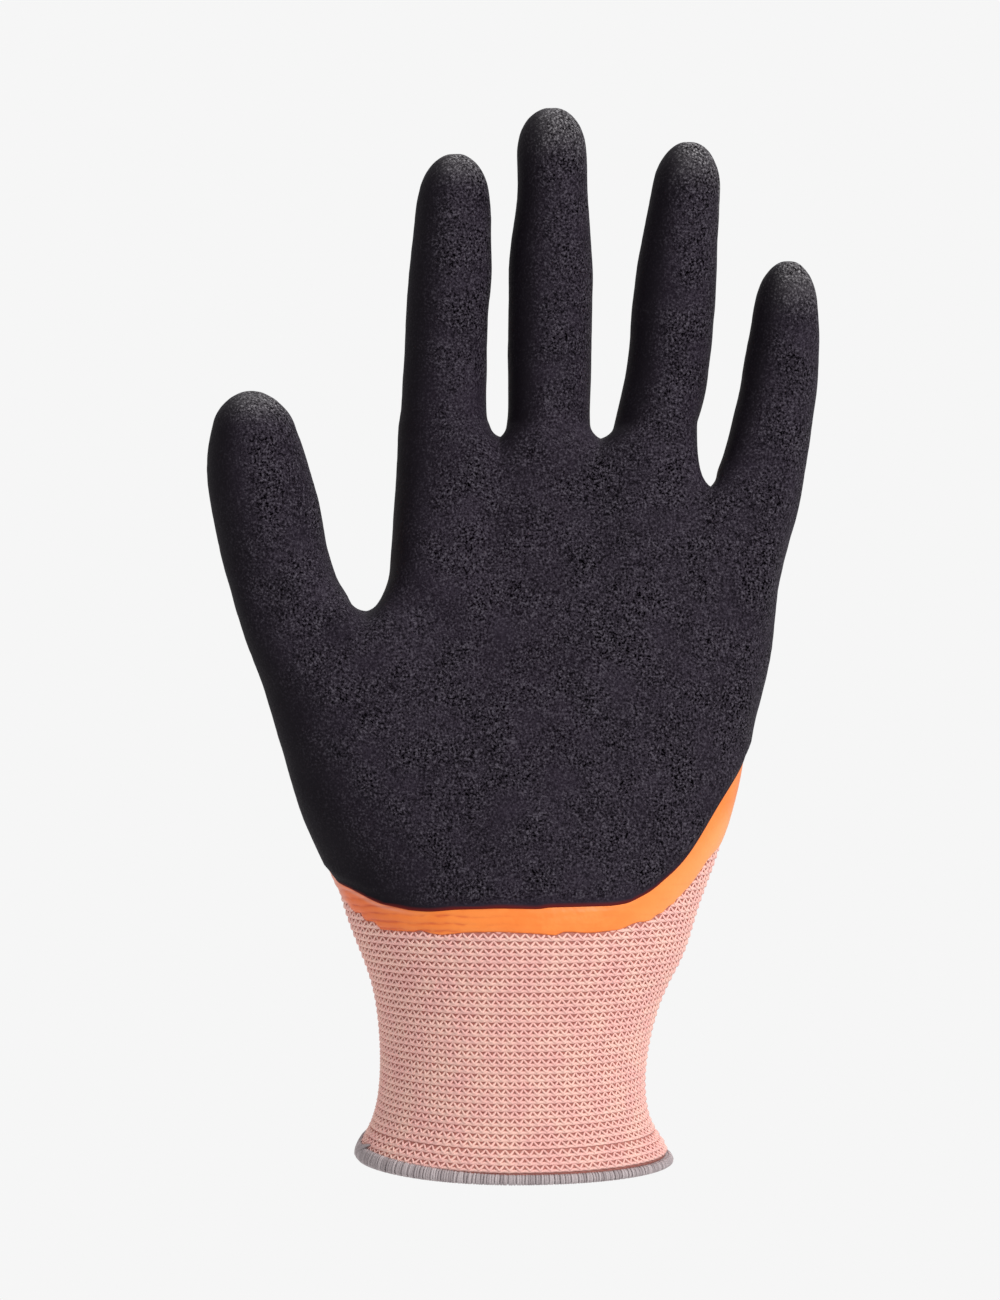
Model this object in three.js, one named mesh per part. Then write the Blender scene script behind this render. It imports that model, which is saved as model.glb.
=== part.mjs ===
// A latex coated grip glove for the left hand, standing fingers up with its palm towards -Y.
// Millimetres, +Z up. The origin is the middle of the cuff mouth, at the lowest point of its hem.
// One skin of four-sided faces follows the outside of the coated glove: a tube for cuff and palm,
// which divides at the thumb web and then at the three finger webs. The knitted liner and the two
// latex coats are thin shells at named depths under that skin, so they nest inside one another.
import * as THREE from "three";

// Driving sizes of the hand form
const CUFF_MOUTH_WIDTH = 69.5;
const CUFF_MOUTH_DEPTH = 59;
const CUFF_WAIST_WIDTH = 61;
const CUFF_WAIST_DEPTH = 53;
const CUFF_HEIGHT = 58;
const THUMB_WEB_HEIGHT = 126;
const HEEL_WIDTH = 124;
const HEEL_DEPTH = 36;
const THUMB_FORWARD = 11;
const PALM_WIDTH = 93;
const PALM_DEPTH = 32;
const PALM_HEIGHT = 40;
const HEM_RISE_LEFT = 1.0;
const HEM_RISE_BEHIND = 2.4;
const THUMB_THINNING = 0.16;
const THUMB_EDGE_LEAN = 0.25;

// Driving sizes of the layers
const KNIT_WALL = 1.0;
const FIRST_DIP_WALL = 0.5;
const SECOND_DIP_WALL = 0.8;
const CLEARANCE = 0.3;

// Driving sizes of the coat lines
const FIRST_DIP_HEIGHT = 54;
const SECOND_DIP_HEIGHT = 60;
const SIDE_WRAP = 3.5;
const TIP_WRAP = 17;

// Driving sizes of the overlocked hem
const HEM_HEIGHT = 3.4;
const HEM_WALL = 0.7;
const HEM_GROOVE = 1.9;

// Height of the liner's raw edge, which stands in the hem's groove
const MOUTH_HEIGHT = HEM_HEIGHT - HEM_GROOVE + CLEARANCE;

// A corner of the skin closer than this to a coat's line is taken to lie on the line
const LINE_SNAP = 0.4;

// Depths of the layers under the skin
const FIRST_DIP_DEPTH = SECOND_DIP_WALL + CLEARANCE;
const KNIT_DEPTH = FIRST_DIP_DEPTH + FIRST_DIP_WALL + CLEARANCE;

// The glove's five fingers: where the root lies, how far the finger reaches, its width and how
// deep it is, and how far it leans forward between root and tip.
const FINGERS = {
  thumb: { root: [-51.9, -7.5, 128.5], length: 46, width: 25, depth: 25, forward: 7 },
  index: { root: [-16.1, -0.5, 168.2], length: 60.8, width: 19.3, depth: 20, forward: 8 },
  middle: { root: [7.8, 0.5, 168.0], length: 71.7, width: 19.4, depth: 20.5, forward: 8 },
  ring: { root: [32.8, 0, 167.2], length: 64.5, width: 19.5, depth: 20, forward: 8.5 },
  little: { root: [56.0, -1, 156.8], length: 47.7, width: 19.2, depth: 18.5, forward: 8 },
};

// Sections of each finger from root to the start of its round end. Along is a share of the
// finger's length, aside a share of its width, and wide and deep are shares of width and depth.
const FINGER_SECTIONS = {
  thumb: [
    { along: 0.04, aside: 0.03, wide: 1.03, deep: 1.04 },
    { along: 0.15, aside: -0.05, wide: 0.98, deep: 1.0 },
    { along: 0.3, aside: -0.12, wide: 0.98, deep: 0.97 },
    { along: 0.45, aside: -0.17, wide: 0.98, deep: 0.95 },
    { along: 0.6, aside: -0.22, wide: 0.94, deep: 0.92 },
    { along: 0.72, aside: -0.25, wide: 0.87, deep: 0.86 },
  ],
  index: [
    { along: 0, aside: 0.02, wide: 1.12, deep: 1.05 },
    { along: 0.055, aside: 0, wide: 1.02, deep: 1.01 },
    { along: 0.23, aside: 0.02, wide: 0.99, deep: 0.97 },
    { along: 0.4, aside: 0.04, wide: 0.97, deep: 0.94 },
    { along: 0.57, aside: 0.08, wide: 0.98, deep: 0.92 },
    { along: 0.69, aside: 0.1, wide: 0.93, deep: 0.88 },
    { along: 0.8, aside: 0.12, wide: 0.88, deep: 0.82 },
  ],
  middle: [
    { along: 0, aside: 0, wide: 1.09, deep: 1.05 },
    { along: 0.045, aside: 0.01, wide: 0.99, deep: 1.01 },
    { along: 0.23, aside: 0.02, wide: 0.99, deep: 0.96 },
    { along: 0.41, aside: 0.03, wide: 0.99, deep: 0.92 },
    { along: 0.53, aside: 0.03, wide: 0.98, deep: 0.9 },
    { along: 0.65, aside: 0.04, wide: 0.89, deep: 0.85 },
    { along: 0.76, aside: 0.05, wide: 0.82, deep: 0.8 },
    { along: 0.86, aside: 0.04, wide: 0.82, deep: 0.77 },
  ],
  ring: [
    { along: 0, aside: -0.06, wide: 1.08, deep: 1.05 },
    { along: 0.055, aside: 0.015, wide: 1.0, deep: 1.01 },
    { along: 0.24, aside: 0.13, wide: 0.97, deep: 0.96 },
    { along: 0.41, aside: 0.18, wide: 0.97, deep: 0.93 },
    { along: 0.56, aside: 0.22, wide: 0.94, deep: 0.91 },
    { along: 0.69, aside: 0.26, wide: 0.87, deep: 0.86 },
    { along: 0.82, aside: 0.31, wide: 0.81, deep: 0.8 },
  ],
  little: [
    { along: 0, aside: -0.02, wide: 1.11, deep: 1.05 },
    { along: 0.07, aside: 0.055, wide: 1.02, deep: 1.01 },
    { along: 0.28, aside: 0.165, wide: 0.95, deep: 0.95 },
    { along: 0.44, aside: 0.23, wide: 0.91, deep: 0.92 },
    { along: 0.6, aside: 0.27, wide: 0.86, deep: 0.87 },
    { along: 0.73, aside: 0.29, wide: 0.79, deep: 0.82 },
  ],
};

// Round end of a finger: up is a share of the way from the last section to the tip
const TIP_SECTIONS = [
  { up: 0.48, size: 0.88 },
  { up: 0.78, size: 0.655 },
  { up: 0.94, size: 0.4 },
];
const TIP_CAP_SIZE = 0.19;

// Sections of the cuff above its mouth. Up is a share of the way from the mouth to the cuff
// height, left and right are shares of half the waist width, deep a share of half its depth.
const CUFF_SECTIONS = [
  { up: 0.06, left: 1.115, right: 1.112, deep: 1.09 },
  { up: 0.16, left: 1.035, right: 1.005, deep: 1.03 },
  { up: 0.36, left: 0.992, right: 0.98, deep: 0.99 },
  { up: 0.62, left: 1.03, right: 1.092, deep: 0.99 },
  { up: 0.8, left: 1.13, right: 1.255, deep: 1.01 },
  { up: 0.98, left: 1.265, right: 1.37, deep: 1.02 },
];

// Sections of the heel of the hand, from the cuff to the thumb web. Up is a share of the way,
// left and right are shares of half the heel width, front and back are shares of half its depth.
const HEEL_SECTIONS = [
  { up: 0.13, left: 0.69, right: 0.755, front: 1.4, back: 1.33 },
  { up: 0.28, left: 0.765, right: 0.81, front: 1.34, back: 1.24 },
  { up: 0.44, left: 0.82, right: 0.855, front: 1.26, back: 1.14 },
  { up: 0.6, left: 0.87, right: 0.884, front: 1.18, back: 1.05 },
  { up: 0.77, left: 0.925, right: 0.93, front: 1.1, back: 0.98 },
  { up: 0.93, left: 0.99, right: 0.96, front: 1.02, back: 0.93 },
];

// Sections of the palm, from the thumb web to the finger webs. Up is a share of the palm height
// at each column, left and right are shares of the palm width from the glove's middle plane.
const PALM_SECTIONS = [
  { up: 0.13, left: -0.314, right: 0.647, front: 0.98, back: 0.92 },
  { up: 0.4, left: -0.3, right: 0.66, front: 0.91, back: 0.87 },
  { up: 0.7, left: -0.292, right: 0.68, front: 0.82, back: 0.79 },
  { up: 1.0, left: -0.287, right: 0.7, front: 0.74, back: 0.72 },
];

// The columns of the skin across the palm, from the thumb side to the little finger side. Across
// is a share of the palm width at the finger webs, up a share of the palm height, and swell a
// share of the palm depth by which a finger's root stands out of the valleys beside it.
const PALM_COLUMNS = [
  { name: "edge", across: 0.0, up: 0.93, swell: 0 },
  { name: "index_1", across: 0.035, up: 0.93, swell: 0.02 },
  { name: "index_2", across: 0.11, up: 0.94, swell: 0.04 },
  { name: "index_3", across: 0.19, up: 0.93, swell: 0.04 },
  { name: "web_1", across: 0.252, up: 0.9, swell: -0.03 },
  { name: "middle_1", across: 0.325, up: 0.94, swell: 0.04 },
  { name: "middle_2", across: 0.42, up: 0.94, swell: 0.04 },
  { name: "web_2", across: 0.5, up: 0.89, swell: -0.03 },
  { name: "ring_1", across: 0.585, up: 0.91, swell: 0.04 },
  { name: "ring_2", across: 0.68, up: 0.83, swell: 0.04 },
  { name: "web_3", across: 0.762, up: 0.66, swell: -0.03 },
  { name: "little_1", across: 0.835, up: 0.66, swell: 0.03 },
  { name: "little_2", across: 0.91, up: 0.63, swell: 0.03 },
  { name: "little_3", across: 0.968, up: 0.6, swell: 0.02 },
  { name: "side", across: 1.0, up: 0.58, swell: 0 },
];

// The thumb's own columns on the heel, as shares of the heel width from its thumb side
const THUMB_COLUMNS = [0.0, 0.028, 0.09, 0.165];
const WEB_COLUMN = 0.238;

// The web beside the thumb, as a share of the palm width from the glove's middle plane
const THUMB_WEB_ACROSS = -0.36;

// The webs between the fingers: place across as a share of the palm width from the middle plane,
// and height above the thumb web as a share of the palm height
const WEBS = [
  { name: "web_1", across: -0.035, up: 1.0 },
  { name: "web_2", across: 0.212, up: 0.99 },
  { name: "web_3", across: 0.477, up: 0.722 },
];

// The lines where the coats end, round the glove. Angle is in degrees, 0 on the little finger
// side and -90 at the middle of the palm. Each coat's height is a share of its height there.
const COAT_LINES = [
  { angle: -180, first: 1.2, second: 1.14 },
  { angle: -165, first: 1.085, second: 1.067 },
  { angle: -150, first: 1.024, second: 1.01 },
  { angle: -135, first: 0.995, second: 0.988 },
  { angle: -115, first: 1.017, second: 1.0 },
  { angle: -90, first: 1.02, second: 1.005 },
  { angle: -65, first: 1.02, second: 1.01 },
  { angle: -45, first: 1.028, second: 1.013 },
  { angle: -30, first: 1.083, second: 1.083 },
  { angle: -22, first: 1.147, second: 1.17 },
  { angle: -15, first: 1.22, second: 1.332 },
  { angle: 0, first: 1.361, second: 1.545 },
  { angle: 30, first: 1.555, second: 1.7 },
  { angle: 60, first: 1.72, second: 1.8 },
  { angle: 90, first: 1.76, second: 1.8 },
  { angle: 120, first: 1.68, second: 1.7 },
  { angle: 150, first: 1.42, second: 1.4 },
];

const COLOURS = {
  knit: { color: 0xe3aba0, roughness: 0.9, metalness: 0 },
  first_dip: { color: 0xf98a44, roughness: 0.5, metalness: 0 },
  second_dip: { color: 0x332d36, roughness: 0.75, metalness: 0 },
  hem: { color: 0x9b8f93, roughness: 0.9, metalness: 0 },
};

function mix(a, b, share) {
  return a + (b - a) * share;
}

function ease(low, high, value) {
  const share = Math.min(1, Math.max(0, (value - low) / (high - low)));
  return share * share * (3 - 2 * share);
}

// A skin holds points and faces, and its rings are lists of point numbers
class Skin {
  constructor() {
    this.points = [];
    this.faces = [];
  }

  point(x, y, z) {
    this.points.push(new THREE.Vector3(x, y, z));
    return this.points.length - 1;
  }

  ring(places) {
    return places.map((place) => this.point(...place));
  }

  join(lower, upper) {
    lower.forEach((corner, index) => {
      const next = (index + 1) % lower.length;
      this.faces.push([corner, lower[next], upper[next], upper[index]]);
    });
  }

  // Closes a ring of ten across its width, as the last stitches of a fingertip are drawn together
  close(ring) {
    const [left, f1, f2, f3, f4, right, b4, b3, b2, b1] = ring;
    this.faces.push([left, f1, b1], [f1, f2, b2, b1], [f2, f3, b3, b2]);
    this.faces.push([f3, f4, b4, b3], [f4, right, b4]);
  }

  // Every face as triangles, split along its shorter diagonal, so that all layers share one split
  triangles() {
    return this.faces.flatMap((face) => {
      if (face.length === 3) return [face];
      const [a, b, c, d] = face;
      const across = this.points[a].distanceTo(this.points[c]);
      const other = this.points[b].distanceTo(this.points[d]);
      return across <= other ? [[a, b, c], [a, c, d]] : [[a, b, d], [b, c, d]];
    });
  }

  normals() {
    const sums = this.points.map(() => new THREE.Vector3());
    for (const face of this.faces) {
      face.forEach((corner, index) => {
        const here = this.points[corner];
        const next = this.points[face[(index + 1) % face.length]].clone().sub(here);
        const back = this.points[face[(index + face.length - 1) % face.length]].clone().sub(here);
        sums[corner].addScaledVector(next.clone().cross(back).normalize(), next.angleTo(back));
      });
    }
    this.mouth.forEach((corner) => sums[corner].setZ(0));
    return sums.map((sum) => sum.normalize());
  }
}

// One place on a closed section: across runs 0 to 1 from the thumb side, and the bulge is the
// share of the depth that a flattened round section has there
function bulge(across, power) {
  return Math.pow(Math.max(0, 1 - Math.pow(Math.abs(2 * across - 1), power)), 1 / power);
}

function skin_places(shares, row) {
  const front = shares.slice(1, -1).map((share) => row.place(share, -1));
  const back = shares.slice(1, -1).map((share) => row.place(share, 1)).reverse();
  return [row.place(shares[0], 0), ...front, row.place(shares.at(-1), 0), ...back];
}

function even_shares(count) {
  const turns = Array.from({ length: count }, (_, index) => (Math.PI * index) / (count - 1));
  return turns.map((turn) => (1 - Math.cos(turn)) / 2);
}

const LOWER_COUNT = THUMB_COLUMNS.length + PALM_COLUMNS.length - 1;
const cuff_shares = even_shares(LOWER_COUNT);
const heel_shares = [
  ...THUMB_COLUMNS,
  WEB_COLUMN,
  ...PALM_COLUMNS.slice(2).map((column) => mix(WEB_COLUMN, 1, column.across)),
];

function column_shares(progress) {
  return cuff_shares.map((share, index) => mix(share, heel_shares[index], progress));
}

// How much wider the skin runs over the bare knit than the knit itself
function knit_allowance(height) {
  return KNIT_DEPTH * (1 - ease(0.9, 1.22, height / CUFF_HEIGHT));
}

function hem_rise(x, y, height) {
  const side = Math.max(0, (-2 * x) / CUFF_MOUTH_WIDTH);
  const behind = Math.max(0, (2 * y) / CUFF_MOUTH_DEPTH);
  const rise = HEM_RISE_LEFT + HEM_RISE_BEHIND * behind;
  return rise * side * side * (1 - ease(0, 1, height / CUFF_HEIGHT));
}

function cuff_row(section) {
  const height = mix(MOUTH_HEIGHT, CUFF_HEIGHT, section.up);
  const spare = knit_allowance(height);
  const left = (-CUFF_WAIST_WIDTH * section.left) / 2 - spare;
  const right = (CUFF_WAIST_WIDTH * section.right) / 2 + spare;
  const deep = (CUFF_WAIST_DEPTH * section.deep) / 2 + spare;
  return {
    place(share, side) {
      const x = mix(left, right, share);
      const y = side * deep * bulge(share, 2);
      return [x, y, height + hem_rise(x, y, height)];
    },
  };
}

function thumb_forward(share, progress) {
  return THUMB_FORWARD * progress * (1 - ease(0.05, 0.42, share));
}

function heel_row(section) {
  const height = mix(CUFF_HEIGHT, THUMB_WEB_HEIGHT, section.up);
  const spare = knit_allowance(height);
  const left = (-HEEL_WIDTH * section.left) / 2 - spare;
  const right = (HEEL_WIDTH * section.right) / 2 + spare;
  const power = mix(2.0, 2.5, section.up);
  return {
    place(share, side) {
      const deep = (HEEL_DEPTH * (side < 0 ? section.front : section.back)) / 2 + spare;
      const thin = 1 - THUMB_THINNING * section.up * (1 - ease(0, 0.5, share));
      const forward = thumb_forward(share, section.up);
      return [mix(left, right, share), side * deep * thin * bulge(share, power) - forward, height];
    },
  };
}

function build_skin() {
  const skin = new Skin();
  const wide = CUFF_MOUTH_WIDTH / CUFF_WAIST_WIDTH;
  const mouth = { up: 0, left: wide, right: wide, deep: CUFF_MOUTH_DEPTH / CUFF_WAIST_DEPTH };
  const cuff = [mouth, ...CUFF_SECTIONS].map((section) =>
    skin.ring(skin_places(cuff_shares, cuff_row(section))));
  const heel = HEEL_SECTIONS.map((section) =>
    skin.ring(skin_places(column_shares(ease(0, 1, section.up)), heel_row(section))));
  const rows = [...cuff, ...heel];
  rows.slice(1).forEach((row, index) => skin.join(rows[index], row));
  const last = rows.at(-1);
  const web_middle = skin.point(
    PALM_WIDTH * THUMB_WEB_ACROSS, -THUMB_FORWARD * 0.5, THUMB_WEB_HEIGHT);
  const thumb_fronts = THUMB_COLUMNS.length - 1;
  const thumb_ring = [
    ...last.slice(0, THUMB_COLUMNS.length + 1),
    web_middle,
    ...last.slice(-THUMB_COLUMNS.length),
  ];
  const palm_ring = [
    web_middle,
    ...last.slice(THUMB_COLUMNS.length, last.length - thumb_fronts),
  ];
  build_palm(skin, palm_ring);
  build_finger(skin, "thumb", thumb_ring);
  skin.mouth = rows[0];
  skin.above_mouth = rows[1];
  return skin;
}

// The palm rises from the thumb web to the roots of the fingers. Each column has its own height.
function build_palm(skin, lower) {
  const shares = PALM_COLUMNS.map((column) => column.across);
  const row = (section, progress) => ({
    place(share, side) {
      const column = PALM_COLUMNS[shares.indexOf(share)];
      const x = mix(section.left, section.right, share) * PALM_WIDTH;
      const swell = 1 + column.swell * 2 * progress;
      const deep = (PALM_DEPTH * (side < 0 ? section.front : section.back)) / 2;
      const forward = thumb_forward(share, 1 - progress) * 0.6;
      const y = side * deep * swell * bulge(mix(0.03, 0.97, share), 2.6) * Math.abs(side) - forward;
      return [x, y, THUMB_WEB_HEIGHT + PALM_HEIGHT * column.up * section.up];
    },
  });
  const rings = PALM_SECTIONS.map((section) =>
    skin.ring(skin_places(shares, row(section, section.up))));
  [lower, ...rings].slice(0, -1).forEach((ring, index) => skin.join(ring, rings[index]));
  const top = rings.at(-1);
  const count = PALM_COLUMNS.length;
  const front = (name) => top[PALM_COLUMNS.findIndex((column) => column.name === name)];
  const back = (name) => top[(2 * count - 2 - PALM_COLUMNS.findIndex((column) => column.name === name))];
  const middles = WEBS.map((web) =>
    skin.point(web.across * PALM_WIDTH, 0, THUMB_WEB_HEIGHT + web.up * PALM_HEIGHT));
  build_finger(skin, "index", [
    front("edge"), front("index_1"), front("index_2"), front("index_3"), front("web_1"),
    middles[0], back("web_1"), back("index_3"), back("index_2"), back("index_1")]);
  build_finger(skin, "middle", [
    middles[0], front("web_1"), front("middle_1"), front("middle_2"), front("web_2"),
    middles[1], back("web_2"), back("middle_2"), back("middle_1"), back("web_1")]);
  build_finger(skin, "ring", [
    middles[1], front("web_2"), front("ring_1"), front("ring_2"), front("web_3"),
    middles[2], back("web_3"), back("ring_2"), back("ring_1"), back("web_2")]);
  build_finger(skin, "little", [
    middles[2], front("web_3"), front("little_1"), front("little_2"), front("little_3"),
    front("side"), back("little_3"), back("little_2"), back("little_1"), back("web_3")]);
}

function finger_ring(skin, finger, section) {
  const [x, y, z] = finger.root;
  const lean = section.along * section.along;
  const centre = new THREE.Vector3(
    x + section.aside * finger.width,
    y - finger.forward * lean,
    z + section.along * finger.length);
  const places = [];
  for (let step = 0; step < 10; step += 1) {
    const angle = Math.PI + (step * Math.PI) / 5;
    const across = (Math.cos(angle) * finger.width * section.wide) / 2;
    const deep = (Math.sin(angle) * finger.depth * section.deep) / 2;
    const slope = (2 * section.along * finger.forward) / finger.length;
    places.push([centre.x + across, centre.y + deep, centre.z + deep * slope]);
  }
  return skin.ring(places);
}

function build_finger(skin, name, root) {
  const finger = FINGERS[name];
  const table = FINGER_SECTIONS[name];
  const last = table.at(-1);
  const before = table.at(-2);
  const sections = [...table];
  for (const tip of [...TIP_SECTIONS, { up: 1, size: TIP_CAP_SIZE }]) {
    const along = mix(last.along, 1, tip.up);
    const drift = (last.aside - before.aside) / (last.along - before.along);
    sections.push({
      along,
      aside: last.aside + drift * (along - last.along) * 0.5,
      wide: last.wide * tip.size,
      deep: last.deep * tip.size,
    });
  }
  let ring = root;
  for (const section of sections) {
    const next = finger_ring(skin, finger, section);
    skin.join(ring, next);
    ring = next;
  }
  skin.close(ring);
}

// The part of a skin where a measure is above zero, with new points where it crosses zero
function trimmed(whole, measure) {
  const values = whole.points.map((point) => {
    const value = measure(point);
    return Math.abs(value) < LINE_SNAP ? 0 : value;
  });
  const part = { points: [...whole.points], normals: [...whole.normals], faces: [] };
  const crossings = new Map();
  const crossing = (a, b) => {
    const key = a < b ? `${a},${b}` : `${b},${a}`;
    if (!crossings.has(key)) {
      const share = values[a] / (values[a] - values[b]);
      part.points.push(whole.points[a].clone().lerp(whole.points[b], share));
      part.normals.push(whole.normals[a].clone().lerp(whole.normals[b], share));
      crossings.set(key, part.points.length - 1);
    }
    return crossings.get(key);
  };
  for (const face of whole.faces) {
    const kept = [];
    face.forEach((corner, index) => {
      const next = face[(index + 1) % face.length];
      if (values[corner] >= 0) kept.push(corner);
      if (values[corner] * values[next] < 0) kept.push(crossing(corner, next));
    });
    const inside = kept.some((corner) => corner >= values.length || values[corner] > 0);
    if (kept.length > 2 && inside) part.faces.push(kept);
  }
  return part;
}

// The open edges of a skin, each from corner to corner as its face runs
function open_edges(faces) {
  const edges = new Map();
  for (const face of faces) {
    face.forEach((corner, index) => {
      const next = face[(index + 1) % face.length];
      if (!edges.delete(`${next},${corner}`)) edges.set(`${corner},${next}`, [corner, next]);
    });
  }
  return [...edges.values()];
}

// A closed shell between two depths under the skin, with a rim along each open edge
function shell_geometry(part, outer_depth, inner_depth) {
  const used = [...new Set(part.faces.flat())];
  const number = new Map(used.map((corner, index) => [corner, index]));
  const positions = [outer_depth, inner_depth].flatMap((depth) =>
    used.flatMap((corner) =>
      part.points[corner].clone().addScaledVector(part.normals[corner], -depth).toArray()));
  const triangles = [];
  const add = (corners) => {
    for (let index = 1; index < corners.length - 1; index += 1) {
      triangles.push(corners[0], corners[index], corners[index + 1]);
    }
  };
  const outer = (corner) => number.get(corner);
  const inner = (corner) => number.get(corner) + used.length;
  for (const face of part.faces) {
    add(face.map(outer));
    for (let index = 1; index < face.length - 1; index += 1) {
      triangles.push(inner(face[0]), inner(face[index + 1]), inner(face[index]));
    }
  }
  for (const [corner, next] of open_edges(part.faces)) {
    add([outer(next), outer(corner), inner(corner), inner(next)]);
  }
  const geometry = new THREE.BufferGeometry();
  geometry.setAttribute("position", new THREE.Float32BufferAttribute(positions, 3));
  geometry.setIndex(triangles);
  geometry.computeVertexNormals();
  return geometry;
}

// Height of a coat's lower line at a place, from the table's rows on either side of its angle
function coat_line(column, height, point) {
  const angle = THREE.MathUtils.radToDeg(Math.atan2(point.y, point.x));
  const rows = [...COAT_LINES, { ...COAT_LINES[0], angle: 180 }];
  const index = rows.findIndex((row, place) => place > 0 && angle <= row.angle);
  const before = rows[index - 1];
  const after = rows[index];
  const share = (angle - before.angle) / (after.angle - before.angle);
  return height * mix(before[column], after[column], share);
}

function first_dip_measure(point) {
  return point.z - coat_line("first", FIRST_DIP_HEIGHT, point);
}

// How deep the middle of the hand lies at a place, where the thumb stands forward of the palm
// and each finger leans forward
function middle_depth(point) {
  const progress = (point.z - CUFF_HEIGHT) / (THUMB_WEB_HEIGHT - CUFF_HEIGHT);
  const share = point.x / HEEL_WIDTH + 0.5;
  if (progress < 1) return -thumb_forward(Math.max(0, share), Math.max(0, progress));
  const thumb = point.x < THUMB_WEB_ACROSS * PALM_WIDTH - (point.z - THUMB_WEB_HEIGHT) * THUMB_EDGE_LEAN;
  const finger = thumb ? FINGERS.thumb : nearest_finger(point.x);
  const along = Math.max(0, (point.z - finger.root[2]) / finger.length);
  return finger.root[1] - finger.forward * along * along;
}

// How far a place lies inside the second dip: above its line, and on the palm side of a line a
// little behind the middle of the hand, or near a fingertip
function second_dip_measure(point) {
  const above = point.z - coat_line("second", SECOND_DIP_HEIGHT, point);
  const side = middle_depth(point) + SIDE_WRAP - point.y;
  const thumb = point.x < THUMB_WEB_ACROSS * PALM_WIDTH;
  const finger = thumb ? FINGERS.thumb : nearest_finger(point.x);
  const tip = point.z - (finger.root[2] + finger.length - TIP_WRAP);
  return Math.min(above, Math.max(side, tip));
}

function nearest_finger(x) {
  const [first, ...rest] = ["index", "middle", "ring", "little"].map((name) => FINGERS[name]);
  return rest.reduce((best, finger) =>
    (Math.abs(finger.root[0] - x) < Math.abs(best.root[0] - x) ? finger : best), first);
}

// The overlocked hem: a channel of thread that wraps the liner's raw edge
function hem_geometry(skin, normals) {
  const middle = KNIT_DEPTH + KNIT_WALL / 2;
  const groove = KNIT_WALL / 2 + CLEARANCE;
  const outer = groove + HEM_WALL;
  const seat = HEM_HEIGHT - HEM_GROOVE;
  const shoulder = HEM_HEIGHT / 3;
  const profile = [
    [-groove, HEM_HEIGHT], [-groove, seat], [groove, seat], [groove, HEM_HEIGHT],
    [outer, HEM_HEIGHT], [outer, shoulder], [0, 0], [-outer, shoulder], [-outer, HEM_HEIGHT]];
  const positions = [];
  skin.mouth.forEach((corner, index) => {
    const flat = normals[corner];
    const centre = skin.points[corner].clone().addScaledVector(flat, -middle);
    const lean = skin.points[skin.above_mouth[index]].clone().sub(skin.points[corner]);
    lean.divideScalar(lean.z);
    for (const [out, up] of profile) {
      const place = centre.clone().addScaledVector(flat, out);
      place.addScaledVector(lean, up - seat - CLEARANCE);
      positions.push(...place.toArray());
    }
  });
  const count = skin.mouth.length;
  const sides = profile.length;
  const triangles = [];
  for (let step = 0; step < count; step += 1) {
    const next = (step + 1) % count;
    for (let side = 0; side < sides; side += 1) {
      const other = (side + 1) % sides;
      const corners = [step * sides + side, step * sides + other, next * sides + other, next * sides + side];
      triangles.push(corners[0], corners[1], corners[2], corners[0], corners[2], corners[3]);
    }
  }
  const geometry = new THREE.BufferGeometry();
  geometry.setAttribute("position", new THREE.Float32BufferAttribute(positions, 3));
  geometry.setIndex(triangles);
  geometry.computeVertexNormals();
  return geometry;
}

function named_mesh(name, geometry, look) {
  const mesh = new THREE.Mesh(geometry, new THREE.MeshStandardMaterial(look));
  mesh.name = name;
  return mesh;
}

const skin = build_skin();
const normals = skin.normals();
const whole = { points: skin.points, normals, faces: skin.triangles() };
const first_part = trimmed(whole, first_dip_measure);
const second_part = trimmed(whole, second_dip_measure);
const liner = shell_geometry(whole, KNIT_DEPTH, KNIT_DEPTH + KNIT_WALL);
const first_dip = shell_geometry(first_part, FIRST_DIP_DEPTH, FIRST_DIP_DEPTH + FIRST_DIP_WALL);
const second_dip = shell_geometry(second_part, 0, SECOND_DIP_WALL);

const glove = new THREE.Group();
glove.name = "glove";
glove.add(named_mesh("knit_liner", liner, COLOURS.knit));
glove.add(named_mesh("latex_first_dip", first_dip, COLOURS.first_dip));
glove.add(named_mesh("latex_palm_dip", second_dip, COLOURS.second_dip));
glove.add(named_mesh("overlock_hem", hem_geometry(skin, normals), COLOURS.hem));

export default glove;
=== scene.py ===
# A latex coated grip glove for the left hand, shown from its palm side with its fingers up.
# Sizes in the tables are millimetres, and MM turns them into Blender's metres.
import math

import bmesh
import bpy
import numpy as np
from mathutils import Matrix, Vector, noise
from mathutils.bvhtree import BVHTree


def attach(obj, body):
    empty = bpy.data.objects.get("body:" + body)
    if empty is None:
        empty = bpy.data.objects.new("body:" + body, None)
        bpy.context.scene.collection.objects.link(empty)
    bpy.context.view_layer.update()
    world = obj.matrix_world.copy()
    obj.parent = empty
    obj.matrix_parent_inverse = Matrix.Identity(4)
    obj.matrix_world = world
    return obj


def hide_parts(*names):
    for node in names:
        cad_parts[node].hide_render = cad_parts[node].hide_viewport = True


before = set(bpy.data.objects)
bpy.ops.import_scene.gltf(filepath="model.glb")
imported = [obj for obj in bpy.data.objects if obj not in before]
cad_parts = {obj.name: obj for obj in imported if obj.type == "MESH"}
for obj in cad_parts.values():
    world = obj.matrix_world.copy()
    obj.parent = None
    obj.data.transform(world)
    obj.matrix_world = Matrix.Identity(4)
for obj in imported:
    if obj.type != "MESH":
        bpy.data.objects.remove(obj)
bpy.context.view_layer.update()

MM = 0.001
TINY = 1e-9
NO_WIDTH = 0.001

# Camera: it looks level along +Y at the palm, with the whole photograph as its frame
CAMERA_X = -3.2
CAMERA_Y = -668.0
CAMERA_Z = 117.0
PHOTO_HEIGHT_AT_GLOVE = 297.7
SENSOR_HEIGHT = 36.0

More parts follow.
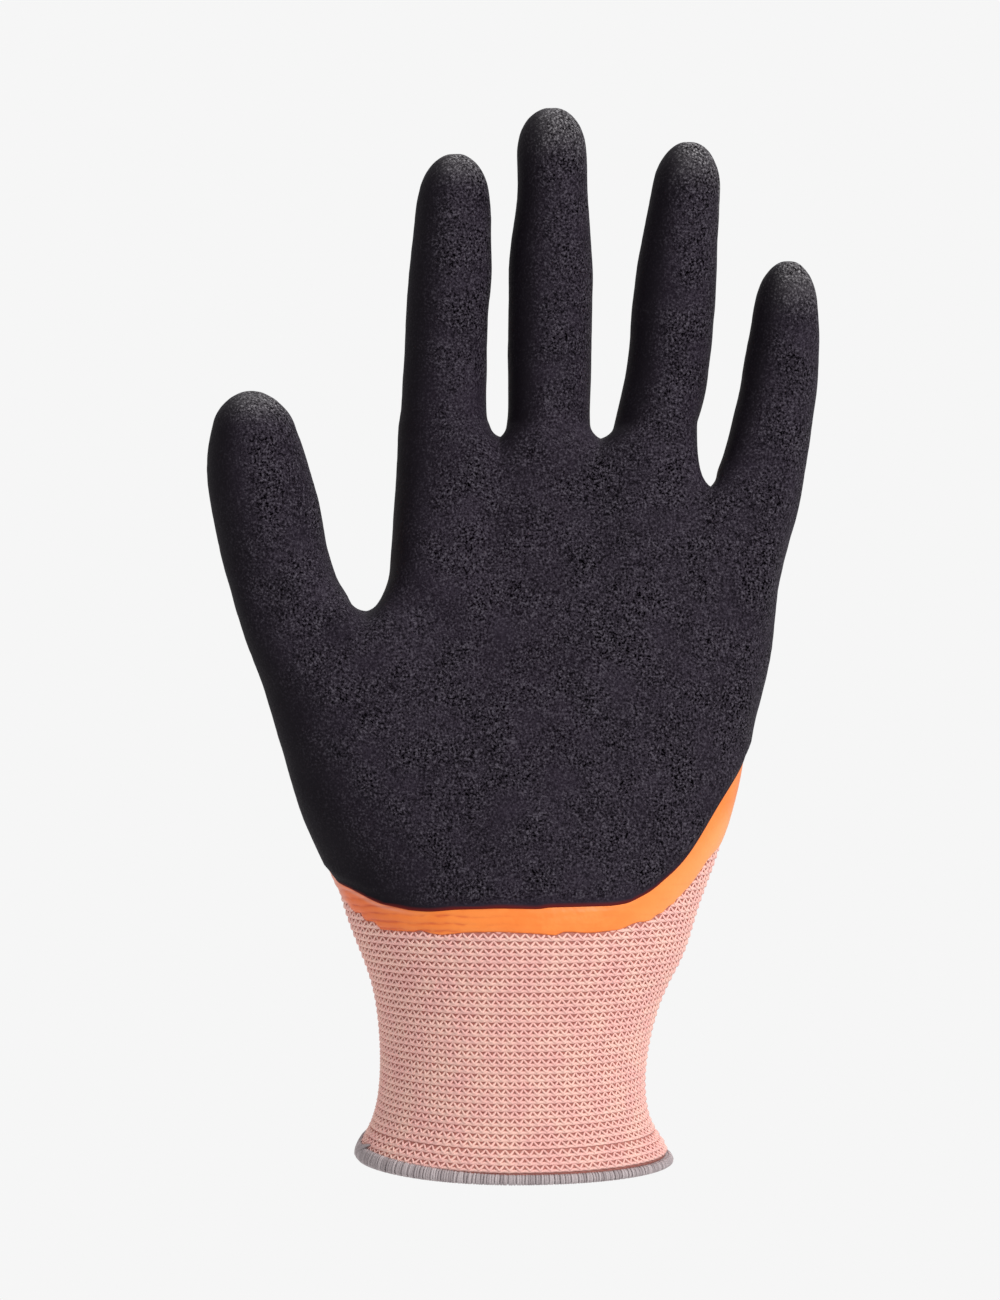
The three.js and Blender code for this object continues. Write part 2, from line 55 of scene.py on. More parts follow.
# The smooth skin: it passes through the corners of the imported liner's outside
KNIT_WALL = 1.0
GROUND_DEPTH = 0.12
MERGED_WITHIN = 0.01
RIM_TOP = 5.0
RIM_NORMAL = -0.9
FIT_ROUNDS = 6
FIT_STEP = 0.9
FINE_LEVEL = 3
PLAIN_LEVEL = 2

# Heights between which the roots are evened out in depth
THUMB_ROOT = (118.0, 142.0)
FINGER_ROOTS = (144.0, 180.0)
ROOT_FADE = 6.0
UPRIGHT_POWER = 4
EASE_SHARE = 0.6
EASE_ROUNDS = 10

# The thumb
THUMB_WEB_X = -33.5
THUMB_TIP_X = -59.5
THUMB_SLIMMING = (
    # height where it begins, height where it is full, share drawn in
    (161.0, 167.0, 0.055),
    (168.0, 175.0, 0.07),
)

# The webs between the fingers
WEBS = (
    # middle of the round end along X, height, radius, height of the slot over it, widening
    (-34.1, 129.4, 5.2, 1.0, 0.0),
    (-3.5, 167.7, 3.65, 4.0, 0.0),
    (20.1, 168.25, 4.5, 3.0, 0.0),
    (44.1, 156.4, 4.0, 6.0, 0.05),
)
WEB_SOFTNESS = 0.3
WEB_FADE = 0.4
WEB_SURROUND = 3.0
WEB_ROUNDS = 7
EVENING = 0.5

# How far the surface round a web is evened out or loses its grain, across and up
SKIN_NEAR_WEB = (6.5, 6.0)
COAT_NEAR_WEB = (5.0, 6.0)
GRAIN_NEAR_WEB = (5.0, 5.0)

# Bends in the finger walls over the webs
WALL_BENDS = (
    # across, height
    (-26.6, 169.0),
    (41.9, 169.4),
)
BEND_SIZE = 5.0
BEND_ROUNDS = 20


def add_camera():
    data = bpy.data.cameras.new("photo_camera")
    camera = bpy.data.objects.new("photo_camera", data)
    bpy.context.scene.collection.objects.link(camera)
    camera.location = (CAMERA_X * MM, CAMERA_Y * MM, CAMERA_Z * MM)
    camera.rotation_euler = (math.pi / 2, 0, 0)
    data.sensor_fit = "VERTICAL"
    data.sensor_height = SENSOR_HEIGHT
    data.lens = SENSOR_HEIGHT * -CAMERA_Y / PHOTO_HEIGHT_AT_GLOVE
    data.clip_start = 0.01
    data.clip_end = 20.0
    bpy.context.scene.camera = camera


add_camera()


def mix(a, b, share):
    """The value that lies a share of the way from a to b."""
    return a + (b - a) * share


def ease(low, high, value):
    """A soft step from 0 at the low value to 1 at the high one."""
    share = np.clip((value - low) / (high - low), 0, 1)
    return share * share * (3 - 2 * share)


def unit(vectors):
    return vectors / np.maximum(np.linalg.norm(vectors, axis=1), TINY)[:, None]


# The smooth skin of the glove

class Skin:
    """Points in millimetres, outward normals, and faces as lists of point numbers."""

    def __init__(self, points, normals, faces):
        self.points = points
        self.normals = normals
        self.faces = faces


def liner_outside():
    """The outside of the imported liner, as a mesh of four-sided faces."""
    outside = bmesh.new()
    outside.from_mesh(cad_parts["knit_liner"].data)
    bmesh.ops.remove_doubles(outside, verts=outside.verts, dist=MERGED_WITHIN * MM)
    outside.normal_update()
    rim = [face for face in outside.faces
           if face.normal.z < RIM_NORMAL and face.calc_center_median().z < RIM_TOP * MM]
    bmesh.ops.delete(outside, geom=rim, context="FACES")
    top = max(outside.verts, key=lambda vert: vert.co.z)
    reached = {top}
    waiting = [top]
    while waiting:
        for edge in waiting.pop().link_edges:
            for vert in edge.verts:
                if vert not in reached:
                    reached.add(vert)
                    waiting.append(vert)
    inside = [vert for vert in outside.verts if vert not in reached]
    bmesh.ops.delete(outside, geom=inside, context="VERTS")
    bmesh.ops.join_triangles(
        outside, faces=outside.faces[:],
        angle_face_threshold=math.pi, angle_shape_threshold=math.pi)
    return outside


def subdivided(piece, level):
    """Points, normals and faces of the piece's smooth surface."""
    piece.modifiers["smooth"].levels = level
    piece.data.update()
    bpy.context.view_layer.update()
    seen = piece.evaluated_get(bpy.context.evaluated_depsgraph_get())
    mesh = seen.to_mesh()
    points = np.empty(len(mesh.vertices) * 3)
    mesh.vertices.foreach_get("co", points)
    normals = np.empty(len(mesh.vertices) * 3)
    mesh.vertices.foreach_get("normal", normals)
    faces = [tuple(face.vertices) for face in mesh.polygons]
    seen.to_mesh_clear()
    return Skin(points.reshape(-1, 3) / MM, normals.reshape(-1, 3), faces)


def eased_roots(points, edges):
    """Evens out the hand's depth where the fingers and the thumb begin."""
    way = points[edges[:, 1]] - points[edges[:, 0]]
    length = np.linalg.norm(way, axis=1)
    pull = (way[:, 2] / length) ** UPRIGHT_POWER / length
    ends = np.concatenate([edges[:, 0], edges[:, 1]])
    others = np.concatenate([edges[:, 1], edges[:, 0]])
    pulls = np.concatenate([pull, pull])
    total = np.maximum(np.bincount(ends, pulls, len(points)), TINY)
    up = points[:, 2]
    thumb = points[:, 0] < THUMB_WEB_X
    low = np.where(thumb, THUMB_ROOT[0], FINGER_ROOTS[0])
    high = np.where(thumb, THUMB_ROOT[1], FINGER_ROOTS[1])
    zone = ease(low, low + ROOT_FADE, up) * (1 - ease(high - ROOT_FADE, high, up))
    eased = points.copy()
    for _ in range(EASE_ROUNDS):
        mean = np.bincount(ends, pulls * eased[others, 1], len(points)) / total
        eased[:, 1] += zone * EASE_SHARE * (mean - eased[:, 1])
    return eased


def carve_webs(points):
    """Opens the narrow ends between the fingers into round-ended slots."""
    carved = points.copy()
    for middle, height, radius, tall, widening in WEBS:
        across = carved[:, 0] - middle
        over = carved[:, 2] - height
        up = over - np.clip(over, 0, tall)
        up = np.where(up > 0, up * WEB_FADE, up)
        away = np.maximum(np.hypot(across, up), TINY)
        reach = radius + widening * np.clip(over, 0, tall)
        grown = away + WEB_SOFTNESS * np.logaddexp(0, (reach - away) / WEB_SOFTNESS)
        grow = np.where(away < reach + WEB_SURROUND, grown / away, 1)
        carved[:, 0] += across * (grow - 1)
        carved[:, 2] += up * (grow - 1)
    return carved


def slim_thumb(points):
    """Draws the end of the thumb in to a rounder tip."""
    drawn = sum(share * ease(low, high, points[:, 2]) for low, high, share in THUMB_SLIMMING)
    slim = points.copy()
    slim[:, 0] += np.where(points[:, 0] < THUMB_WEB_X, drawn, 0) * (THUMB_TIP_X - points[:, 0])
    return slim


def near_webs(points, size):
    """How near points lie to the narrow ends between the fingers, from 0 to 1."""
    wide, tall = size
    near = np.zeros(len(points))
    for middle, height, _, slot, _ in WEBS[1:]:
        across = (points[:, 0] - middle) / wide
        over = points[:, 2] - height
        up = (over - np.clip(over, 0, 2 * slot)) / tall
        near = np.maximum(near, np.exp(-across * across - up * up))
    return near


def near_bends(points):
    """How near points lie to the bends in the finger walls, from 0 to 1."""
    near = np.zeros(len(points))
    for across, height in WALL_BENDS:
        away = np.hypot(points[:, 0] - across, points[:, 2] - height) / BEND_SIZE
        near = np.maximum(near, np.exp(-away * away))
    return near


def evened(values, faces, share, rounds):
    """Values at skin points, drawn by a share towards the mean of their neighbours."""
    ends = np.array([
        (face[place - 1], corner) for face in faces for place, corner in enumerate(face)])
    ends = np.vstack([ends, ends[:, ::-1]])
    count = np.maximum(np.bincount(ends[:, 0], minlength=len(values)), 1)[:, None]
    for _ in range(rounds):
        mean = np.stack([
            np.bincount(ends[:, 0], column[ends[:, 1]], len(values)) for column in values.T], 1)
        values = values + share * (mean / count - values)
    return values


def corner_normals(points, faces):
    """Outward normals at the corners of four-sided faces."""
    quads = np.array(faces)
    first, second, third, fourth = (points[quads[:, place]] for place in range(4))
    flat = np.cross(third - first, fourth - second)
    normals = np.zeros_like(points)
    for place in range(4):
        np.add.at(normals, quads[:, place], flat)
    return unit(normals)


def smooth_skins(levels):
    """The liner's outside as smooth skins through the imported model's corners."""
    outside = liner_outside()
    mesh = bpy.data.meshes.new("skin_frame")
    outside.to_mesh(mesh)
    outside.free()
    piece = bpy.data.objects.new("skin_frame", mesh)
    bpy.context.scene.collection.objects.link(piece)
    smooth = piece.modifiers.new("smooth", "SUBSURF")
    smooth.use_limit_surface = True
    smooth.boundary_smooth = "ALL"
    corners = np.empty(len(mesh.vertices) * 3)
    mesh.vertices.foreach_get("co", corners)
    edges = np.empty(len(mesh.edges) * 2, dtype=int)
    mesh.edges.foreach_get("vertices", edges)
    target = eased_roots(corners.reshape(-1, 3) / MM, edges.reshape(-1, 2)).reshape(-1) * MM
    for _ in range(FIT_ROUNDS):
        seen = subdivided(piece, 1)
        fitted = seen.points[:len(mesh.vertices)].reshape(-1) * MM
        corners += (target - fitted) * FIT_STEP
        mesh.vertices.foreach_set("co", corners)
    skins = []
    for level in levels:
        skin = subdivided(piece, level)
        skin.points = slim_thumb(carve_webs(skin.points))
        near = near_webs(skin.points, SKIN_NEAR_WEB)[:, None]
        skin.points = evened(skin.points, skin.faces, EVENING * near, WEB_ROUNDS)
        near = near_bends(skin.points)[:, None]
        skin.points = evened(skin.points, skin.faces, EVENING * near, BEND_ROUNDS)
        skin.normals = corner_normals(skin.points, skin.faces)
        skins.append(skin)
    bpy.data.objects.remove(piece)
    bpy.data.meshes.remove(mesh)
    return skins


fine_skin, plain_skin = smooth_skins([FINE_LEVEL, PLAIN_LEVEL])


# Where the coats end

SECOND_DIP_LINE = (
    # angle round the glove, height of the palm dip's edge
    (-180, 68.5), (-176, 66.2), (-170, 64.6), (-161.4, 63.2), (-156, 61.8), (-150, 60.4),
    (-144, 59.9), (-137, 59.2), (-129, 59.0), (-117, 59.6), (-97, 59.9), (-77.5, 59.75),
    (-74, 60.1), (-59.5, 60.2), (-46.5, 60.3), (-40, 60.8), (-37, 61.7), (-33.6, 62.6),
    (-30, 63.9), (-26.6, 65.8), (-23.3, 67.6), (-20.8, 69.5), (-17.9, 72.7), (-16.2, 75.4),
    (-14.8, 77.9), (-12.9, 80.9), (-10.6, 84.6), (-7.5, 88.6), (-2, 92.9), (8, 96.4),
    (30, 102.0), (60, 108.0), (90, 108.0), (120, 102.0), (150, 84.0), (168, 74.0), (180, 68.5),
)
FIRST_DIP_LINE = (
    # angle round the glove, height of the first dip's edge
    (-180, 65.0), (-177, 63.6), (-173.5, 61.9), (-169.3, 60.3), (-165.7, 59.1), (-161.3, 58.1),
    (-157.4, 57.1), (-154, 56.5), (-150.5, 55.9), (-144.8, 55.1), (-137.9, 55.2), (-132, 55.0),
    (-129.5, 54.4), (-123.8, 54.1), (-112.6, 54.8), (-97, 55.0), (-81.5, 54.7), (-70.5, 54.2),
    (-67.6, 55.0), (-55.8, 54.6), (-49, 54.9), (-43.5, 55.1), (-38.4, 56.4), (-33, 57.1), (-28.6, 58.2),
    (-25.8, 59.2), (-22.5, 60.7), (-20.2, 62.3), (-16.9, 63.8), (-14.5, 65.5), (-12.8, 67.7),
    (-10.4, 69.8), (-7.2, 71.2), (0, 73.3), (15, 78.4), (30, 84.6), (45, 89.8), (60, 92.6),
    (75, 93.8), (90, 94.0), (105, 93.4), (120, 91.4), (135, 86.7), (148, 79.8), (158, 74.6),
    (168, 69.6), (174, 67.2), (180, 65.0),
)
ANGLE_STEP = 0.5
FIRST_LINE_BLUR = 0.7
SECOND_LINE_BLUR = 1.6

# Rows of the knit, and the sides where the first dip's edge steps from row to row
ROW_PITCH = 1.63
FIRST_ROW = 2.75
STEP_RISE = (0.8, 0.92)
STEP_DROP = 0.35
STEPPED_SIDES = (
    # angles where the steps begin, are full, fade and end, and their share
    (-174.0, -170.0, -136.0, -132.0, 1.0),
    (-38.0, -34.0, -12.0, -8.0, 0.5),
)


def line_table(rows, blur):
    """Heights of a coat's edge at small steps round the glove, softened."""
    rows = np.array(rows)
    angles = np.arange(-180, 180, ANGLE_STEP)
    heights = np.interp(angles, rows[:, 0], rows[:, 1])
    away = np.minimum(angles + 180, 180 - angles)
    weight = np.exp(-0.5 * (away / blur) ** 2)
    weight /= weight.sum()
    return angles, np.fft.ifft(np.fft.fft(heights) * np.fft.fft(weight)).real


def stepped(angles, heights):
    """The first dip's edge, stepped from row to row of the knit at the sides."""
    rows = (heights - FIRST_ROW) / ROW_PITCH
    whole = np.floor(rows)
    steep = ease(*STEP_RISE, rows - whole)
    edges = FIRST_ROW + (whole + steep) * ROW_PITCH - STEP_DROP
    share = 0 * angles
    for begins, full, fades, ends, most in STEPPED_SIDES:
        share = share + most * ease(begins, full, angles) * (1 - ease(fades, ends, angles))
    return mix(heights, edges, share)


def angle_round(points):
    """The angle round the glove: 0 is the little finger's side and -90 the palm."""
    return np.degrees(np.arctan2(points[:, 1], points[:, 0]))


FIRST_ANGLES, FIRST_HEIGHTS = line_table(FIRST_DIP_LINE, FIRST_LINE_BLUR)
FIRST_HEIGHTS = stepped(FIRST_ANGLES, FIRST_HEIGHTS)
SECOND_ANGLES, SECOND_HEIGHTS = line_table(SECOND_DIP_LINE, SECOND_LINE_BLUR)


def first_line(points):
    """Height of the first dip's edge at each point's angle."""
    return np.interp(angle_round(points), FIRST_ANGLES, FIRST_HEIGHTS, period=360)


def second_line(points):
    """Height of the palm dip's lower edge at each point's angle."""
    return np.interp(angle_round(points), SECOND_ANGLES, SECOND_HEIGHTS, period=360)


# The hand's middle plane
CUFF_HEIGHT = 58
THUMB_WEB_HEIGHT = 126
THUMB_EDGE_LEAN = 0.25
HEEL_WIDTH = 124
THUMB_FORWARD = 11
THUMB_FADE = (0.05, 0.42)
FINGERS = (
    # root x, root y, root z, length, forward
    (-51.9, -7.5, 128.5, 46.0, 7.0),
    (-16.1, -0.5, 168.2, 60.8, 8.0),
    (7.8, 0.5, 168.0, 71.7, 8.0),
    (32.8, 0.0, 167.2, 64.5, 8.5),
    (56.0, -1.0, 156.8, 47.7, 8.0),
)

# How far the palm dip wraps round the sides and down from the tips, and its uneven edge
SIDE_WRAP = 3.5
TIP_WRAP = 17
SIDE_WAVE = 1.6
SIDE_WAVE_SIZE = 11
SIDE_WAVE_PLACE = 5
TIP_WAVE = 2.4
TIP_WAVE_SIZE = 8
TIP_WAVE_PLACE = 9
SIDE_EVENING = 0.7
SIDE_ROUNDS = 26
LOWER_EDGE = (4, 10)


def finger_numbers(points):
    """The row of FINGERS that each point belongs to."""
    roots = np.array([finger[0] for finger in FINGERS[1:]])
    nearest = np.abs(points[:, :1] - roots[None, :]).argmin(1) + 1
    edge = THUMB_WEB_X - np.maximum(0, points[:, 2] - THUMB_WEB_HEIGHT) * THUMB_EDGE_LEAN
    return np.where(points[:, 0] < edge, 0, nearest)


def middle_depth(points):
    """How deep the middle of the hand lies, where the thumb and fingers lean forward."""
    progress = (points[:, 2] - CUFF_HEIGHT) / (THUMB_WEB_HEIGHT - CUFF_HEIGHT)
    share = np.maximum(0, points[:, 0] / HEEL_WIDTH + 0.5)
    heel = -THUMB_FORWARD * np.maximum(0, progress) * (1 - ease(*THUMB_FADE, share))
    fingers = np.array(FINGERS)[finger_numbers(points)]
    along = np.maximum(0, (points[:, 2] - fingers[:, 2]) / fingers[:, 3])
    lean = fingers[:, 1] - fingers[:, 4] * along * along
    return np.where(progress < 1, heel, lean)


def waves(points, size, place):
    """Smooth noise at points, with a size in millimetres and a place of its own."""
    shift = Vector((place, 0, 0))
    return np.array([noise.noise(Vector(point) / size + shift) for point in points])


def above_first_line(skin):
    """How far skin points lie above the first dip's edge."""
    return skin.points[:, 2] - first_line(skin.points)


def above_second_line(skin):
    """How far skin points lie inside the palm dip: over its edge and in front of its sides."""
    points = skin.points
    above = points[:, 2] - second_line(points)
    side = middle_depth(points) + SIDE_WRAP - points[:, 1]
    side = side + SIDE_WAVE * waves(points, SIDE_WAVE_SIZE, SIDE_WAVE_PLACE)
    fingers = np.array(FINGERS)[finger_numbers(points)]
    tip = points[:, 2] - (fingers[:, 2] + fingers[:, 3] - TIP_WRAP)
    tip = tip + TIP_WAVE * waves(points, TIP_WAVE_SIZE, TIP_WAVE_PLACE)
    inside = np.minimum(above, np.maximum(side, tip))
    share = SIDE_EVENING * ease(*LOWER_EDGE, above)[:, None]
    return evened(inside[:, None], skin.faces, share, SIDE_ROUNDS)[:, 0]


def split_at(skin, values, level):
    """The skin with its faces split where the values cross a level."""
    faces = []
    points = list(skin.points)
    normals = list(skin.normals)
    levels = list(values)
    made = {}

    def crossing(a, b):
        key = (a, b) if a < b else (b, a)
        if key not in made:
            share = (level - values[a]) / (values[b] - values[a])
            points.append(mix(skin.points[a], skin.points[b], share))
            normals.append(mix(skin.normals[a], skin.normals[b], share))
            levels.append(level)
            made[key] = len(points) - 1
        return made[key]

    for face in skin.faces:
        over = [values[corner] > level for corner in face]
        if all(over) or not any(over):
            faces.append(face)
            continue
        high = []
        low = []
        for place, corner in enumerate(face):
            after = face[(place + 1) % len(face)]
            (high if over[place] else low).append(corner)
            if over[place] != over[(place + 1) % len(face)]:
                cut = crossing(corner, after)
                high.append(cut)
                low.append(cut)
        faces += [part for part in (high, low) if len(part) > 2]
    return Skin(np.array(points), np.array(normals), faces), np.array(levels)


def cut_coat(skin, measure, lip_steps):
    """The part of the skin above a coat's line, with rows of corners beside the line."""
    values = measure(skin)
    for level in (0, *lip_steps):
        skin, values = split_at(skin, values, level)
    kept = [face for face in skin.faces
            if min(values[corner] for corner in face) > -NO_WIDTH
            and max(values[corner] for corner in face) > NO_WIDTH]
    return Skin(skin.points, skin.normals, kept), values


def open_edges(faces):
    """Edges that only one face has, in that face's order."""
    edges = {}
    for face in faces:
        for place, corner in enumerate(face):
            after = face[(place + 1) % len(face)]
            if edges.pop((after, corner), None) is None:
                edges[(corner, after)] = True
    return list(edges)


def shell(skin, outside, inside, **shades):
    """Points, faces and shades of a closed shell between two places of every skin point."""
    used = sorted({corner for face in skin.faces for corner in face})
    number = np.full(len(skin.points), -1)
    number[used] = np.arange(len(used))
    faces = [tuple(number[list(face)]) for face in skin.faces]
    count = len(used)
    all_points = np.vstack([outside[used], inside[used]])
    backs = [tuple(corner + count for corner in reversed(face)) for face in faces]
    rims = [(after, corner, corner + count, after + count)
            for corner, after in open_edges(faces)]
    shades = {name: np.tile(values[used], 2) for name, values in shades.items()}
    return all_points, faces + backs + rims, shades


def lifted(skin, height):
    """The skin's points moved outwards by a height."""
    return skin.points + skin.normals * (0 * skin.points[:, 0] + height)[:, None]


def add_piece(name, points, faces, material, nodes=(), shades={}):
    """A smooth mesh that rides on the root, stands for nodes and carries shades at its points."""
    mesh = bpy.data.meshes.new(name)
    mesh.from_pydata((np.asarray(points) * MM).tolist(), [], faces)
    mesh.polygons.foreach_set("use_smooth", [True] * len(mesh.polygons))
    mesh.materials.append(material)
    for shade, values in shades.items():
        mesh.attributes.new(shade, "FLOAT", "POINT").data.foreach_set("value", values)
    mesh.update()
    piece = bpy.data.objects.new(name, mesh)
    bpy.context.scene.collection.objects.link(piece)
    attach(piece, "root")
    if nodes:
        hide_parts(*nodes)
    return piece


# Materials

class Wires:
    """The nodes of one material or node group, and the links between them."""

    def __init__(self, tree):
        self.tree = tree

    def node(self, kind, **settings):
        made = self.tree.nodes.new(kind)
        for name, value in settings.items():
            setattr(made, name, value)
        return made

    def feed(self, socket, value):
        """Links a socket to an output, or gives it a plain value."""
        if isinstance(value, bpy.types.NodeSocket):
            self.tree.links.new(value, socket)
        else:
            socket.default_value = value

    def math(self, operation, *values):
        made = self.node("ShaderNodeMath", operation=operation)
        for socket, value in zip(made.inputs, values):
            self.feed(socket, value)
        return made.outputs[0]

    def spread(self, value, low, high, new_low=0.0, new_high=1.0):
        made = self.node("ShaderNodeMapRange", interpolation_type="SMOOTHSTEP")
        for socket, given in zip(made.inputs, (value, low, high, new_low, new_high)):
            self.feed(socket, given)
        return made.outputs[0]

    def colours(self, share, first, second):
        made = self.node("ShaderNodeMix", data_type="RGBA")
        self.feed(made.inputs["Factor"], share)
        self.feed(made.inputs["A"], first)
        self.feed(made.inputs["B"], second)
        return made.outputs["Result"]

    def noise(self, place, detail, roughness):
        made = self.node("ShaderNodeTexNoise")
        self.feed(made.inputs["Vector"], place)
        made.inputs["Scale"].default_value = 1.0
        made.inputs["Detail"].default_value = detail
        made.inputs["Roughness"].default_value = roughness
        return made.outputs["Fac"]

    def shade(self, name):
        return self.node("ShaderNodeAttribute", attribute_name=name).outputs["Fac"]

    def group(self, tree, **values):
        made = self.node("ShaderNodeGroup", node_tree=tree)
        for name, value in values.items():
            self.feed(made.inputs[name.replace("_", " ")], value)
        return made.outputs


def new_group(name, inputs, outputs):
    tree = bpy.data.node_groups.new(name, "ShaderNodeTree")
    for socket, kind, value in inputs:
        made = tree.interface.new_socket(socket, in_out="INPUT", socket_type=kind)
        made.default_value = value
    for socket, kind in outputs:
        tree.interface.new_socket(socket, in_out="OUTPUT", socket_type=kind)
    wires = Wires(tree)
    entry = wires.node("NodeGroupInput").outputs
    leave = wires.node("NodeGroupOutput").inputs
    return wires, entry, leave


def sized_place(wires, size, stretch=(1, 1, 1)):
    """Places on the object, counted in grains of a size in millimetres."""
    place = wires.node("ShaderNodeTexCoord").outputs["Object"]
    scale = wires.node("ShaderNodeVectorMath", operation="SCALE")
    wires.feed(scale.inputs[0], place)
    wires.feed(scale.inputs["Scale"], wires.math("DIVIDE", 1 / MM, size))
    drawn = wires.node("ShaderNodeVectorMath", operation="MULTIPLY")
    wires.feed(drawn.inputs[0], scale.outputs[0])
    drawn.inputs[1].default_value = stretch
    return drawn.outputs[0]


def grain_group():
    """Rounded grains with pits between them."""
    wires, entry, leave = new_group(
        "grain",
        [("Size", "NodeSocketFloat", 0.6), ("Raggedness", "NodeSocketFloat", 0.5)],
        [("Height", "NodeSocketFloat"), ("Pits", "NodeSocketFloat"), ("Crests", "NodeSocketFloat")])
    place = sized_place(wires, entry["Size"])
    cells = wires.node("ShaderNodeTexVoronoi", feature="SMOOTH_F1")
    wires.feed(cells.inputs["Vector"], place)
    cells.inputs["Scale"].default_value = 1.0
    cells.inputs["Smoothness"].default_value = 0.5
    rough = wires.noise(place, 3.0, 0.6)
    bumps = wires.math("SUBTRACT", 1.0, cells.outputs["Distance"])
    share = wires.math("MULTIPLY", rough, entry["Raggedness"])
    height = wires.math("ADD", bumps, share)
    wires.feed(leave["Height"], height)
    wires.feed(leave["Pits"], wires.spread(rough, 0.5, 0.38))
    wires.feed(leave["Crests"], wires.spread(rough, 0.53, 0.66))
    return wires.tree


def mottle_group():
    """One colour that drifts into another in soft patches."""
    wires, entry, leave = new_group(
        "mottle",
        [("Colour", "NodeSocketColor", (1, 1, 1, 1)),
         ("Other Colour", "NodeSocketColor", (1, 1, 1, 1)),
         ("Patch Size", "NodeSocketFloat", 8.0)],
        [("Colour", "NodeSocketColor")])
    patches = wires.noise(sized_place(wires, entry["Patch Size"]), 2.0, 0.55)
    share = wires.spread(patches, 0.32, 0.68)
    wires.feed(leave["Colour"], wires.colours(share, entry["Colour"], entry["Other Colour"]))
    return wires.tree


GRAIN = grain_group()
MOTTLE = mottle_group()


def new_material(name, roughness):
    material = bpy.data.materials.new(name)
    material.use_nodes = True
    shader = material.node_tree.nodes["Principled BSDF"]
    shader.inputs["Roughness"].default_value = roughness
    return material, Wires(material.node_tree), shader.inputs


def add_bump(wires, sockets, height, depth):
    """Feeds the normal from a height, where a height of 1 stands for a depth in millimetres."""
    bump = wires.node("ShaderNodeBump")
    bump.inputs["Strength"].default_value = 1.0
    bump.inputs["Distance"].default_value = depth * MM
    wires.feed(bump.inputs["Height"], height)
    wires.feed(sockets["Normal"], bump.outputs["Normal"])


# Colours of the palm dip
BLACK = (0.0175, 0.0125, 0.0212, 1)
SOFT_BLACK = (0.025, 0.0185, 0.0298, 1)
# Painted shade: a darker black where the coat turns to the thumb side, away from the key light
TURNED_BLACK = (0.0066, 0.005, 0.0076, 1)
# The grain's dark pits and pale crests: partly the coat's own speckle, partly painted shade and glints
# on its bumps
PIT_BLACK = (0.0008, 0.0005, 0.001, 1)
CREST_GREY = (0.084, 0.074, 0.094, 1)
# Painted top light: the tips of the thumb and fingers are painted paler, and their grain crests paler
# still
DUST_GREY = (0.07, 0.065, 0.071, 1)
DUST_CREST_GREY = (0.33, 0.32, 0.33, 1)
LIP_RED = (0.13, 0.012, 0.011, 1)

# Colours of the first dip
ORANGE = (0.93, 0.225, 0.028, 1)
SOFT_ORANGE = (0.96, 0.26, 0.04, 1)
# Painted shade and painted light: the coat near its edge is darker where it turns away from the key
# light and paler where it turns towards it
DEEP_ORANGE = (0.86, 0.16, 0.03, 1)
PALE_ORANGE = (0.95, 0.36, 0.1, 1)
# Painted shade in the grooves between the rows of the knit that show through the coat
STREAK_RED = (0.66, 0.09, 0.015, 1)
# Pink where the coat is thin at the thumb side; the same pink also paints a highlight line just under
# the palm dip's lip
THIN_PINK = (0.86, 0.33, 0.23, 1)

# Colours of the yarns and threads
YARN_PINK = (0.94, 0.605, 0.52, 1)
YARN_ROSE = (0.91, 0.52, 0.475, 1)
# The knit's ground is darker than its yarns: the real shadow in the gaps between the stitches, with
# painted shade added to it
GROUND_ROSE = (0.52, 0.215, 0.175, 1)
GROUND_BROWN = (0.46, 0.18, 0.15, 1)
THREAD_GREY = (0.35, 0.295, 0.305, 1)
PALE_THREAD_GREY = (0.56, 0.49, 0.5, 1)
DARK_THREAD_GREY = (0.24, 0.2, 0.21, 1)


def palm_dip_material():
    material, wires, sockets = new_material("palm_dip_latex", 0.62)
    grain = wires.group(GRAIN, Size=0.52, Raggedness=1.1)
    dust = wires.group(GRAIN, Size=0.3, Raggedness=1.4)
    tone = wires.group(MOTTLE, Colour=BLACK, Other_Colour=SOFT_BLACK, Patch_Size=7.0)
    grainy = wires.shade("grainy")
    # Painted top light on the tips of the thumb and fingers
    tips = wires.shade("tips")
    dusted = wires.colours(tips, tone["Colour"], DUST_GREY)
    # Painted shade: the coat is darker where it turns to the thumb side, and its grain fades there
    base = wires.colours(wires.shade("turned"), dusted, TURNED_BLACK)
    # Dark pits and pale crests of the grain: partly its own speckle, partly painted shade and glints
    pits = wires.math("MULTIPLY", grain["Pits"], grainy)
    pitted = wires.colours(pits, base, PIT_BLACK)
    crest = wires.colours(tips, CREST_GREY, DUST_CREST_GREY)
    crested = wires.colours(wires.math("MULTIPLY", grain["Crests"], grainy), pitted, crest)
    wires.feed(sockets["Base Color"], wires.colours(wires.shade("edge"), crested, LIP_RED))
    smooth_gloss = 0.06
    grain_gloss = wires.math("MULTIPLY", grainy, 0.1)
    gloss = wires.math("ADD", smooth_gloss, grain_gloss)
    out_of_pits = wires.math("SUBTRACT", 1.0, pits)
    wires.feed(sockets["Specular IOR Level"], wires.math("MULTIPLY", gloss, out_of_pits))
    dull, satin = 0.66, 0.45
    wires.feed(sockets["Roughness"], wires.spread(dust["Crests"], 0.0, 1.0, dull, satin))
    height = wires.math("ADD", grain["Height"], wires.math("MULTIPLY", dust["Height"], 0.4))
    add_bump(wires, sockets, wires.math("MULTIPLY", height, grainy), 0.28)
    return material


